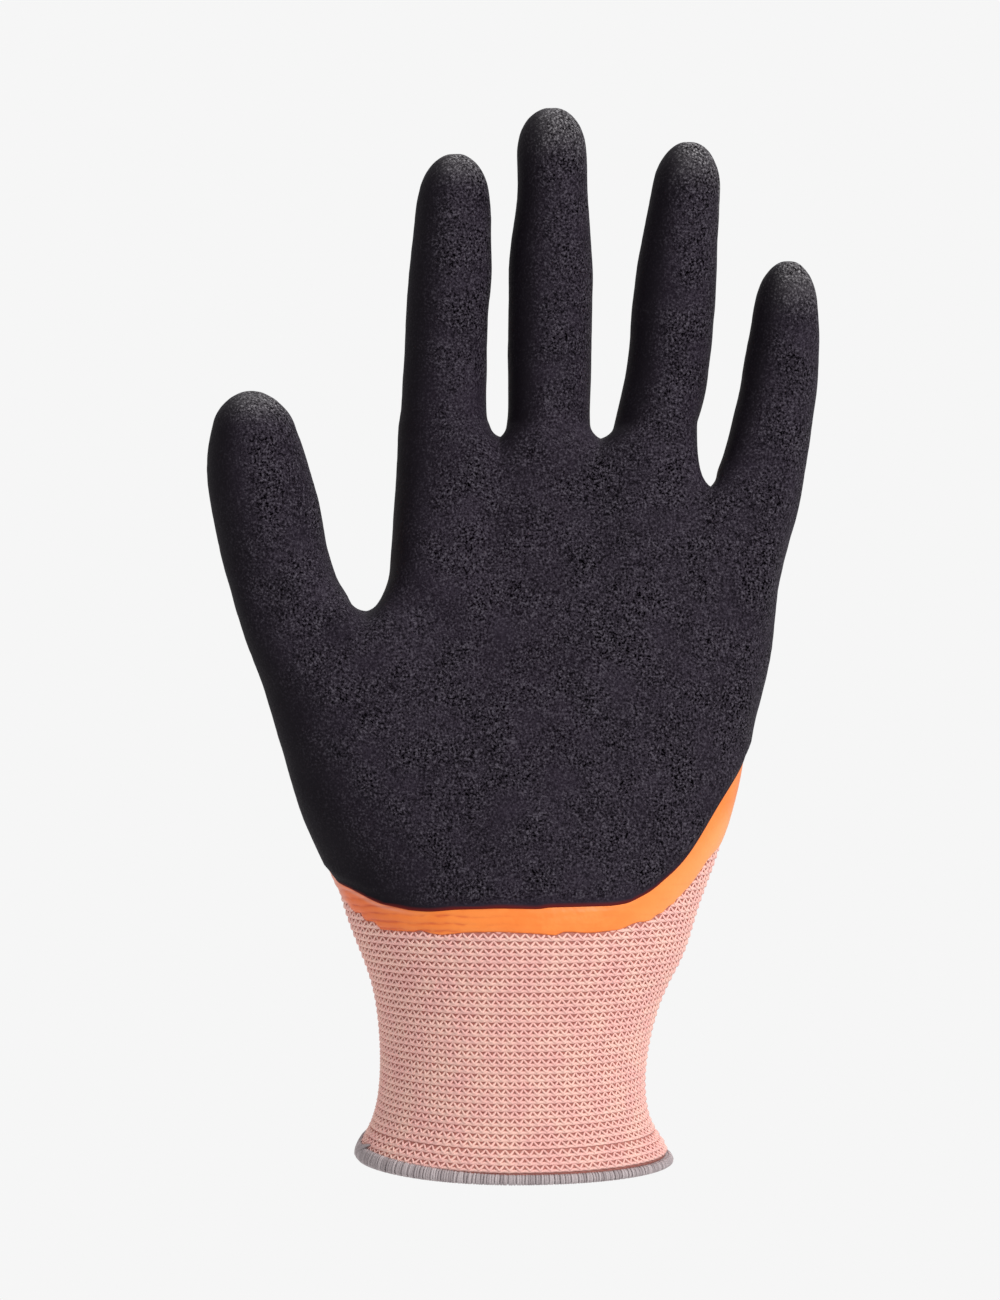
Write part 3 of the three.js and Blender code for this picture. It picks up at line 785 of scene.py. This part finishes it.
def first_dip_material():
    material, wires, sockets = new_material("first_dip_latex", 0.42)
    tone = wires.group(MOTTLE, Colour=ORANGE, Other_Colour=SOFT_ORANGE, Patch_Size=5.0)
    # Painted shade in the grooves between the rows, broken into patches
    worn = wires.noise(sized_place(wires, 2.2, (0.35, 0.35, 1)), 2.0, 0.6)
    streak = wires.math("MULTIPLY", wires.shade("streak"), wires.spread(worn, 0.35, 0.6))
    # Painted shade where the coat turns away from the key light, painted light where it turns towards
    # it
    deep = wires.colours(wires.shade("deep"), tone["Colour"], DEEP_ORANGE)
    pale = wires.colours(wires.shade("pale"), deep, PALE_ORANGE)
    streaked = wires.colours(streak, pale, STREAK_RED)
    thin = wires.colours(wires.shade("thin"), streaked, THIN_PINK)
    wires.feed(sockets["Base Color"], thin)
    grain = wires.group(GRAIN, Size=1.1, Raggedness=0.8)
    add_bump(wires, sockets, grain["Height"], 0.05)
    return material


def knit_material(name, pale, deep):
    material, wires, sockets = new_material(name, 0.9)
    tone = wires.group(MOTTLE, Colour=pale, Other_Colour=deep, Patch_Size=5.0)
    fibre = wires.group(GRAIN, Size=0.2, Raggedness=1.0)
    wires.feed(sockets["Base Color"], wires.colours(
        wires.math("MULTIPLY", fibre["Pits"], 0.35), tone["Colour"], deep))
    add_bump(wires, sockets, fibre["Height"], 0.06)
    return material


def hem_material():
    material, wires, sockets = new_material("overlock_thread", 0.7)
    strand = wires.node("ShaderNodeNewGeometry").outputs["Random Per Island"]
    base = wires.colours(strand, THREAD_GREY, PALE_THREAD_GREY)
    fibre = wires.group(GRAIN, Size=0.16, Raggedness=1.0)
    wires.feed(sockets["Base Color"], wires.colours(
        wires.math("MULTIPLY", fibre["Pits"], 0.4), base, DARK_THREAD_GREY))
    add_bump(wires, sockets, fibre["Height"], 0.05)
    return material


knit_look = knit_material("knit_yarn", YARN_PINK, YARN_ROSE)
# The knit's ground: darker than the yarns, painted shade for the gaps between the stitches
ground_look = knit_material("knit_ground", GROUND_ROSE, GROUND_BROWN)
orange_look = first_dip_material()
black_look = palm_dip_material()
hem_look = hem_material()


# The latex coats

# Distance above the coat's edge, and height of its outside over the knit
FIRST_DIP_PROFILE = ((0, 0.12), (0.25, 0.34), (1.0, 0.5), (2.5, 0.66), (4.5, 0.8))
FIRST_DIP_INSIDE = -0.4
FIRST_LIP_STEPS = (0.25, 1.0)
SECOND_DIP_PROFILE = ((0, 0.84), (0.12, 0.98), (0.4, 1.12), (0.9, 1.14), (1.6, 1.25), (3.2, 1.9))
SECOND_DIP_INSIDE = 0.74
SECOND_LIP_STEPS = (0.12, 0.4, 0.9, 1.6)

# The band where rows of the knit show through the first dip, as grooves with painted shade in them
BAND = (51.0, 68.0)
BAND_FADE = 4
CUTS_PER_ROW = 6
ROW_RELIEF = 0.14
GROOVE_WIDTH = 0.3
GROOVE_WAVES = (
    # waves round the glove, shift, size in rows
    (31, 0, 0.06),
    (13, 1, 0.08),
)
STREAK_ANGLES = (-135, -85)
STREAK_ELSEWHERE = 0.1

# The first dip near its edge: fat and thin at the thumb side, with painted shade where it turns away
# from the key light, painted light where it turns towards it, and a painted highlight line under the
# palm dip's lip
NEAR_EDGE = (5, 13)
SIDE_SWELL = 0.45
SIDE_SWELL_ANGLES = (4, 22)
SIDE_SWELL_RISE = (0, 2)
THIN_ANGLES = (7, 17)
# A painted highlight line under the palm dip's lip: how far under, how wide, how strong, and the angles
# where it fades
PALE_LINE_DROP = 0.55
PALE_LINE_WIDTH = 0.4
PALE_LINE_SHARE = 0.8
PALE_LINE_ANGLES = (26, 50)
DEEP_TURN = (0.25, 0.85)
PALE_TURN = (0.3, 0.9)

# The palm dip: slow swells and small pebbles, grain where it faces the palm, painted shade with less
# grain where it turns to the thumb side away from the key light, and painted top light on its tips
PALM_SWELL = 0.14
PALM_SWELL_SIZE = 6.5
PEBBLE = 0.05
PEBBLE_SIZE = 1.6
UNEVEN_RISE = (0.2, 2.5)
# Painted shade on the palm dip's thumb side: where it begins and is full, how strong at most, and how
# it is evened out
TURNED_AWAY = (0.02, 0.6)
TURNED_MOST = 0.9
TURNED_EVENING = 0.8
TURNED_ROUNDS = 12
GRAIN_RISE = (0.4, 2.6)
GRAIN_LOST_AT_WEBS = 0.6
GRAIN_MEAN = 0.85
GRAIN_SWELL = 0.6
LIP_COLOUR = (0.25, 0.6)

# How far down the painted top light reaches from the tip of the thumb and of each finger
TIP_DUST = (9.0, 9.5, 15.0, 13.0, 14.0)


def add_liner():
    points, faces, _ = shell(
        plain_skin, lifted(plain_skin, -GROUND_DEPTH), lifted(plain_skin, -KNIT_WALL))
    add_piece("knit_liner_body", points, faces, ground_look, ["knit_liner"])


def row_streaks(skin, angle):
    """How deep skin points lie in the grooves between the rows of the knit, from 0 to 1."""
    phase = (skin.points[:, 2] - FIRST_ROW) / ROW_PITCH
    wave = sum(np.sin(np.radians(angle) * count + shift) * size for count, shift, size in GROOVE_WAVES)
    groove = np.abs((phase + wave) % 1 - 0.5) / 0.5
    rows = mix(1.0, STREAK_ELSEWHERE, ease(*STREAK_ANGLES, angle))
    rows = rows * (1 - ease(BAND[1] - BAND_FADE, BAND[1], skin.points[:, 2]))
    return np.exp(-((1 - groove) / GROOVE_WIDTH) ** 2) * rows


def add_first_dip():
    skin = plain_skin
    for level in np.arange(BAND[0], BAND[1], ROW_PITCH / CUTS_PER_ROW):
        skin = split_at(skin, skin.points[:, 2], level)[0]
    skin, values = cut_coat(skin, above_first_line, FIRST_LIP_STEPS)
    profile = np.array(FIRST_DIP_PROFILE)
    out = np.interp(values, profile[:, 0], profile[:, 1])
    angle = angle_round(skin.points)
    from_thumb = np.minimum(np.abs(angle - 180), np.abs(angle + 180))
    # The grooves' depth: it sinks the coat, and it also carries the painted shade in them
    streak = row_streaks(skin, angle)
    low = 1 - ease(*NEAR_EDGE, values)
    swell = SIDE_SWELL * (1 - ease(*SIDE_SWELL_ANGLES, from_thumb)) * low
    out = out - ROW_RELIEF * streak + swell * ease(*SIDE_SWELL_RISE, values)
    # A painted highlight: a pale line just under the palm dip's lip, mixed into the thin coat's pink
    under_lip = second_line(skin.points) - skin.points[:, 2]
    pale_line = np.exp(-((under_lip - PALE_LINE_DROP) / PALE_LINE_WIDTH) ** 2)
    pale_line = pale_line * (1 - ease(*PALE_LINE_ANGLES, from_thumb))
    thin = np.maximum((1 - ease(*THIN_ANGLES, from_thumb)) * low, PALE_LINE_SHARE * pale_line)
    points, faces, shades = shell(
        skin, lifted(skin, out), lifted(skin, FIRST_DIP_INSIDE), streak=streak, thin=thin,
        # Painted shade and painted light near the edge, by which way the coat turns
        deep=ease(*DEEP_TURN, -skin.normals[:, 0]) * low,
        pale=ease(*PALE_TURN, skin.normals[:, 0]) * low)
    add_piece("first_dip_coat", points, faces, orange_look, ["latex_first_dip"], shades)


def add_second_dip():
    skin, values = cut_coat(fine_skin, above_second_line, SECOND_LIP_STEPS)
    profile = np.array(SECOND_DIP_PROFILE)
    out = np.interp(values, profile[:, 0], profile[:, 1])
    swell = waves(skin.points, PALM_SWELL_SIZE, 0)
    pebble = waves(skin.points, PEBBLE_SIZE, 0)
    out = out + (PALM_SWELL * swell + PEBBLE * pebble) * ease(*UNEVEN_RISE, values)
    numbers = finger_numbers(skin.points)
    fingers = np.array(FINGERS)[numbers]
    # How far each point lies down the painted top light on its tip
    from_tip = (fingers[:, 2] + fingers[:, 3] - skin.points[:, 2]) / np.array(TIP_DUST)[numbers]
    # Painted shade: how far the coat turns to the thumb side, away from the key light; the grain fades
    # with it
    turned = ease(*TURNED_AWAY, -skin.normals[:, 0])[:, None]
    turned = TURNED_MOST * evened(turned, skin.faces, TURNED_EVENING, TURNED_ROUNDS)[:, 0]
    grainy = (1 - turned) * ease(*GRAIN_RISE, values)
    grainy = grainy * (1 - GRAIN_LOST_AT_WEBS * near_webs(skin.points, GRAIN_NEAR_WEB))
    grainy = grainy * (GRAIN_MEAN + GRAIN_SWELL * swell)
    near = near_webs(skin.points, COAT_NEAR_WEB)[:, None]
    points, faces, shades = shell(
        skin, evened(lifted(skin, out), skin.faces, EVENING * near, WEB_ROUNDS),
        lifted(skin, SECOND_DIP_INSIDE),
        grainy=grainy, turned=turned, tips=1 - ease(0, 1, from_tip),
        edge=1 - ease(*LIP_COLOUR, values))
    add_piece("palm_dip_coat", points, faces, black_look, ["latex_palm_dip"], shades)


add_liner()
add_first_dip()
add_second_dip()


# The knit

# The mouth of the cuff, which rides up at the thumb side
MOUTH_WIDTH = 69.5
MOUTH_DEPTH = 59.0
MOUTH_RISE = 1.0
MOUTH_RISE_BEHIND = 5.5
MOUTH_BEHIND_POWER = 0.8

# Sections round the cuff and heel, found by rays from the glove's middle
SECTION_RAYS = 720
SECTION_AXIS_Y = -2.0
LOWEST_SECTION = 2.3
SECTION_HEIGHTS = np.concatenate([[LOWEST_SECTION], np.arange(3.0, 103.0, 1.5)])
NORMAL_SHARE = 0.004
NORMAL_HEIGHT = 1


def mouth_rise(angle, height):
    """How far the cuff's mouth rides up at the thumb side, most of all behind it."""
    reach = 1 / np.hypot(np.cos(angle) / MOUTH_WIDTH, np.sin(angle) / MOUTH_DEPTH)
    side = np.maximum(0, -reach * np.cos(angle) / MOUTH_WIDTH)
    behind = np.maximum(0, reach * np.sin(angle) / MOUTH_DEPTH) ** MOUTH_BEHIND_POWER
    rise = MOUTH_RISE + MOUTH_RISE_BEHIND * behind
    return rise * side * side * (1 - ease(0, CUFF_HEIGHT, height))


def round_sections(skin):
    """Places round the cuff and heel, by height and by share of the way round."""
    corners = [Vector(point) for point in skin.points]
    tree = BVHTree.FromPolygons(corners, skin.faces)
    rings = []
    turns = np.arange(SECTION_RAYS) * 2 * math.pi / SECTION_RAYS - math.pi / 2
    for height in SECTION_HEIGHTS:
        ring = []
        for turn, rise in zip(turns, mouth_rise(turns, height)):
            ray = Vector((math.cos(turn), math.sin(turn), 0))
            start = Vector((0, SECTION_AXIS_Y, height + rise))
            ring.append(tree.ray_cast(start, ray)[0])
        ring = np.array(ring + ring[:1])
        lengths = np.linalg.norm(np.diff(ring, axis=0), axis=1)
        walked = np.concatenate([[0], np.cumsum(lengths)])
        shares = np.arange(SECTION_RAYS) / SECTION_RAYS * walked[-1]
        rings.append(np.stack([np.interp(shares, walked, ring[:, axis]) for axis in range(3)], 1))
    return np.array(rings)


sections = round_sections(plain_skin)


def on_knit(height, share):
    """Places on the knit's surface at heights and shares of the way round."""
    row = np.interp(height, SECTION_HEIGHTS, np.arange(len(SECTION_HEIGHTS)))
    low = np.minimum(row.astype(int), len(SECTION_HEIGHTS) - 2)
    up = (row - low)[:, None]
    step = (share % 1) * SECTION_RAYS
    left = np.floor(step).astype(int)
    along = (step - left)[:, None]
    left = left % SECTION_RAYS
    right = (left + 1) % SECTION_RAYS
    lower = mix(sections[low, left], sections[low, right], along)
    upper = mix(sections[low + 1, left], sections[low + 1, right], along)
    return mix(lower, upper, up)


def knit_normals(height, share):
    """Outward normals of the knit's surface at heights and shares of the way round."""
    around = on_knit(height, share + NORMAL_SHARE) - on_knit(height, share - NORMAL_SHARE)
    below = np.maximum(height - NORMAL_HEIGHT, LOWEST_SECTION)
    up = on_knit(height + NORMAL_HEIGHT, share) - on_knit(below, share)
    return unit(np.cross(around, up))


class Tubes:
    """Threads with a many-sided section, gathered into one mesh."""

    def __init__(self, sides):
        self.sides = sides
        self.points = []
        self.faces = []
        self.count = 0

    def add(self, line, normals, across, out, closed):
        """One thread along a line, with its half width across and its half height outwards."""
        if closed:
            along = np.roll(line, -1, 0) - np.roll(line, 1, 0)
        else:
            along = np.gradient(line, axis=0)
        side = unit(np.cross(normals, unit(along)))
        top = unit(np.cross(unit(along), side))
        turns = np.arange(self.sides) * 2 * math.pi / self.sides + math.pi / 2
        across = np.broadcast_to(across, len(line))
        out = np.broadcast_to(out, len(line))
        ring = (line[:, None]
                + side[:, None] * (np.cos(turns)[None, :] * across[:, None])[..., None]
                + top[:, None] * (np.sin(turns)[None, :] * out[:, None])[..., None])
        self.points.append(ring.reshape(-1, 3))
        steps = len(line) if closed else len(line) - 1
        for step in range(steps):
            after = (step + 1) % len(line)
            for turn in range(self.sides):
                other = (turn + 1) % self.sides
                self.faces.append((
                    self.count + step * self.sides + turn,
                    self.count + step * self.sides + other,
                    self.count + after * self.sides + other,
                    self.count + after * self.sides + turn))
        if not closed:
            first = [self.count + turn for turn in range(self.sides)]
            last = [self.count + (len(line) - 1) * self.sides + turn for turn in range(self.sides)]
            self.faces += [tuple(reversed(first)), tuple(last)]
        self.count += len(line) * self.sides


# The rows of the knit
THREAD_SIDES = 5
WALES = 90
ROW_GROUPS = (
    # piece, first row, row after its last
    ("knit_rows_low", 0, 12),
    ("knit_rows_middle", 12, 24),
    ("knit_rows_high", 24, 36),
    ("knit_rows_back", 36, 57),
)
ROW_WOBBLE = 0.03
rows_random = np.random.default_rng(3)

# The legs of the stitches: they stand out thick at their feet, and sink in thin at their heads
LEG_STEPS = 8
LEG_FOOT = 0.14
LEG_HEIGHT = 1.16
LEG_ROUNDNESS = 0.3
LEG_LIFT = 0.2
LEG_DROP = 0.3
LEG_HALF_WIDTHS = (0.33, 0.2)
LEG_HALF_HEIGHTS = (0.3, 0.2)

# The ridge under each row's legs
RIDGE_STEPS = 4
RIDGE_WAVE = 0.06
RIDGE_LIFT = 0.02
RIDGE_DROP = 0.04
RIDGE_HALF_WIDTH = 0.38
RIDGE_HALF_HEIGHT = 0.2

# How far the yarns run on under the coat's edge, and how they sink there
UNDER_COAT = 1.3
COAT_SINK = 0.6
COAT_SINK_RISE = (-0.45, 0.3)


def bare(height, share):
    """Whether the knit shows at a place, or lies just under the coat's edge."""
    places = on_knit(height, share)
    return places[:, 2] < first_line(places) + UNDER_COAT


def runs(shown):
    """The stretches of a closed row where something shows, as lists of places."""
    if shown.all():
        return [None]
    starts = np.nonzero(shown & ~np.roll(shown, 1))[0]
    found = []
    for start in starts:
        length = 1
        while shown[(start + length) % len(shown)]:
            length += 1
        if length > 2:
            found.append((start + np.arange(length)) % len(shown))
    return found


def stitch_legs(base):
    """Shares of the way round, heights, lifts and half sizes of the legs of one row."""
    share = np.arange(WALES * LEG_STEPS) / (WALES * LEG_STEPS)
    phase = share * WALES % 1
    peak = 0.5 + 0.5 * np.cos(2 * math.pi * phase)
    leg = mix(np.abs(2 * phase - 1), peak, LEG_ROUNDNESS)
    heights = base + LEG_FOOT + leg * LEG_HEIGHT
    lift = LEG_LIFT - LEG_DROP * leg
    return share, heights, lift, mix(*LEG_HALF_WIDTHS, leg), mix(*LEG_HALF_HEIGHTS, leg)


def row_ridge(base):
    """The same for the broad ridge under the legs."""
    share = np.arange(WALES * RIDGE_STEPS) / (WALES * RIDGE_STEPS)
    dip = np.cos(2 * math.pi * share * WALES)
    heights = base + RIDGE_WAVE * dip
    lift = RIDGE_LIFT - RIDGE_DROP * dip
    return share, heights, lift, 0 * share + RIDGE_HALF_WIDTH, 0 * share + RIDGE_HALF_HEIGHT


def add_row(tubes, base):
    """One row of the knit: the legs of its stitches over a broad ridge."""
    for share, heights, lift, across, out in (stitch_legs(base), row_ridge(base)):
        for run in runs(bare(heights, share)):
            chosen = slice(None) if run is None else run
            normals = knit_normals(heights[chosen], share[chosen])
            places = on_knit(heights[chosen], share[chosen])
            sunk = COAT_SINK * ease(*COAT_SINK_RISE, places[:, 2] - first_line(places))
            line = places + normals * (lift[chosen] - sunk)[:, None]
            tubes.add(line, normals, across[chosen], out[chosen], run is None)


def add_knit():
    for name, first_row, row_after in ROW_GROUPS:
        tubes = Tubes(THREAD_SIDES)
        for row in range(first_row, row_after):
            wobble = rows_random.normal(0, ROW_WOBBLE, 3)[0]
            add_row(tubes, FIRST_ROW + row * ROW_PITCH + wobble)
        add_piece(name, np.vstack(tubes.points), tubes.faces, knit_look)


add_knit()


# The overlocked hem

HEM_PROFILE = (
    # out from the middle of the knit's wall, share of the hem's height
    (0.85, 1.0), (1.25, 0.9), (1.4, 0.66), (1.42, 0.4), (1.2, 0.17), (0.7, 0.03),
    (0.0, 0.0),
    (-0.7, 0.03), (-1.2, 0.17), (-1.42, 0.4), (-1.4, 0.66), (-1.25, 0.9), (-0.85, 1.0),
)
HEM_TOP = 2.05
HEM_TOP_THUMB_SIDE = 1.5
HEM_TOP_THUMB_POWER = 1.5
HEM_TOP_LITTLE_SIDE = 0.2
HEM_WIDER = 0.15
HEM_WIDER_POWER = 4
HEM_BASE = 2.6
HEM_SLOPE_STEP = 1.5
CORE_WIDTH = 0.86
CORE_HEIGHTS = (0.06, 0.96)

# The wraps of thread
HEM_THREADS = 344
WRAP_JITTER = 0.12
WRAP_SLANT = 0.0006
WRAP_HALF_WIDTH = 0.3
WRAP_HALF_HEIGHT = 0.2

# The loose end of the thread at the thumb side: where it starts and ends
TAIL_STEPS = 17
TAIL_SHARES = (0.80, 0.758)
TAIL_HEIGHTS = (1.3, 0.4)

# How far out it lies and its half sizes: at its ends, and what its hump adds
TAIL_OUT = (0.75, 0.75)
TAIL_HALF_WIDTH = (0.2, 0.55)
TAIL_HALF_HEIGHT = (0.2, 0.45)


def hem_angle(share):
    """The angle round the glove at a share of the way round, which starts at the palm."""
    return share * 2 * math.pi - math.pi / 2


def hem_top(share):
    """Height of the hem's upper edge: it shows most at the thumb side."""
    across = np.cos(hem_angle(share))
    thumb_side = HEM_TOP_THUMB_SIDE * np.maximum(0, -across) ** HEM_TOP_THUMB_POWER
    return HEM_TOP + thumb_side - HEM_TOP_LITTLE_SIDE * np.maximum(0, across)


def hem_places(share, out, up):
    """Places on the hem at shares of the way round, out from the wall and up its height."""
    start = HEM_BASE + 0 * share
    base = on_knit(start, share)
    normals = knit_normals(start, share)
    normals[:, 2] = 0
    normals = unit(normals)
    slope = (on_knit(start + HEM_SLOPE_STEP, share) - base) / HEM_SLOPE_STEP
    height = up * hem_top(share) + mouth_rise(hem_angle(share), 0)
    middle = base - normals * KNIT_WALL / 2
    middle = middle + slope * (height - base[:, 2])[:, None]
    middle[:, 2] = height
    wide = 1 + HEM_WIDER * np.maximum(0, -np.cos(hem_angle(share))) ** HEM_WIDER_POWER
    return middle + normals * (out * wide)[:, None], normals


def add_hem_core():
    around = np.arange(SECTION_RAYS) / SECTION_RAYS
    rings = []
    for out, up in HEM_PROFILE:
        outs = 0 * around + out * CORE_WIDTH
        ups = 0 * around + mix(*CORE_HEIGHTS, up)
        rings.append(hem_places(around, outs, ups)[0])
    count = len(rings)
    points = np.stack(rings, 1).reshape(-1, 3)
    faces = []
    for step in range(SECTION_RAYS):
        after = (step + 1) % SECTION_RAYS
        for corner in range(count):
            other = (corner + 1) % count
            faces.append((step * count + other, step * count + corner,
                          after * count + corner, after * count + other))
    add_piece("hem_core", points, faces, hem_look, ["overlock_hem"])


def add_hem_wraps():
    tubes = Tubes(THREAD_SIDES)
    hem_random = np.random.default_rng(11)
    profile = np.array(HEM_PROFILE)
    for thread in range(HEM_THREADS):
        share = (thread + hem_random.normal(0, WRAP_JITTER)) / HEM_THREADS
        slant = hem_random.normal(0, WRAP_SLANT)
        shares = share + slant * np.linspace(-1, 1, len(profile))
        line, normals = hem_places(shares, profile[:, 0], profile[:, 1])
        middle = hem_places(shares, 0 * shares, 0 * shares + 0.5)[0]
        tubes.add(line, unit(line - middle), WRAP_HALF_WIDTH, WRAP_HALF_HEIGHT, False)
    along = np.linspace(0, 1, TAIL_STEPS)
    hump = np.sin(math.pi * along)
    outs, across, out = (least + more * hump for least, more in (
        TAIL_OUT, TAIL_HALF_WIDTH, TAIL_HALF_HEIGHT))
    line, normals = hem_places(mix(*TAIL_SHARES, along), outs, mix(*TAIL_HEIGHTS, along))
    tubes.add(line, normals, across, out, False)
    add_piece("hem_wraps", np.vstack(tubes.points), tubes.faces, hem_look)


add_hem_core()
add_hem_wraps()


# Studio, in metres

BACKGROUND = 0.922
ROOM_LIGHT = 0.56
FLOOR_HALF_WIDTH = 3.0
FLOOR_HEIGHT = -0.06
FLOOR_GREY = (0.75, 0.75, 0.75, 1)
GLOVE_MIDDLE = (0, 0, 0.117)
LIGHTS = (
    # name, place, size, power, colour
    ("key", (0.95, -1.0, 1.1), 0.8, 19, (1, 0.985, 0.975)),
    ("top", (0.1, 0.25, 1.3), 0.5, 7, (1, 1, 1)),
)


def seen_as_backdrop(tree, lit):
    """The camera sees the plain pale backdrop, and everything else is lit as given."""
    wires = Wires(tree)
    seen = wires.node("ShaderNodeEmission")
    seen.inputs["Color"].default_value = (1, 1, 1, 1)
    seen.inputs["Strength"].default_value = BACKGROUND
    choice = wires.node("ShaderNodeMixShader")
    wires.feed(choice.inputs[0], wires.node("ShaderNodeLightPath").outputs["Is Camera Ray"])
    wires.feed(choice.inputs[1], lit)
    wires.feed(choice.inputs[2], seen.outputs[0])
    return choice.outputs[0]


def add_stage():
    mesh = bpy.data.meshes.new("studio_floor")
    sides = ((-1, -1), (1, -1), (1, 1), (-1, 1))
    corners = [(x * FLOOR_HALF_WIDTH, y * FLOOR_HALF_WIDTH, FLOOR_HEIGHT) for x, y in sides]
    mesh.from_pydata(corners, [], [(0, 1, 2, 3)])
    floor = bpy.data.objects.new("studio_floor", mesh)
    bpy.context.scene.collection.objects.link(floor)
    material, wires, sockets = new_material("pale_floor", 0.9)
    sockets["Base Color"].default_value = FLOOR_GREY
    tree = material.node_tree
    lit = tree.nodes["Principled BSDF"].outputs[0]
    wires.feed(tree.nodes["Material Output"].inputs["Surface"], seen_as_backdrop(tree, lit))
    mesh.materials.append(material)


def add_light(name, place, size, power, colour):
    data = bpy.data.lights.new(name, "AREA")
    data.shape = "DISK"
    data.size = size
    data.energy = power
    data.color = colour
    light = bpy.data.objects.new(name, data)
    bpy.context.scene.collection.objects.link(light)
    light.location = place
    aim = Vector(GLOVE_MIDDLE) - Vector(place)
    light.rotation_euler = aim.to_track_quat("-Z", "Y").to_euler()


def add_world():
    world = bpy.data.worlds.new("studio")
    bpy.context.scene.world = world
    world.use_nodes = True
    tree = world.node_tree
    lit = tree.nodes["Background"]
    lit.inputs["Color"].default_value = (1, 1, 1, 1)
    lit.inputs["Strength"].default_value = ROOM_LIGHT
    Wires(tree).feed(
        tree.nodes["World Output"].inputs["Surface"], seen_as_backdrop(tree, lit.outputs[0]))


add_stage()
add_world()
for light in LIGHTS:
    add_light(*light)
bpy.context.scene.view_settings.view_transform = "Standard"
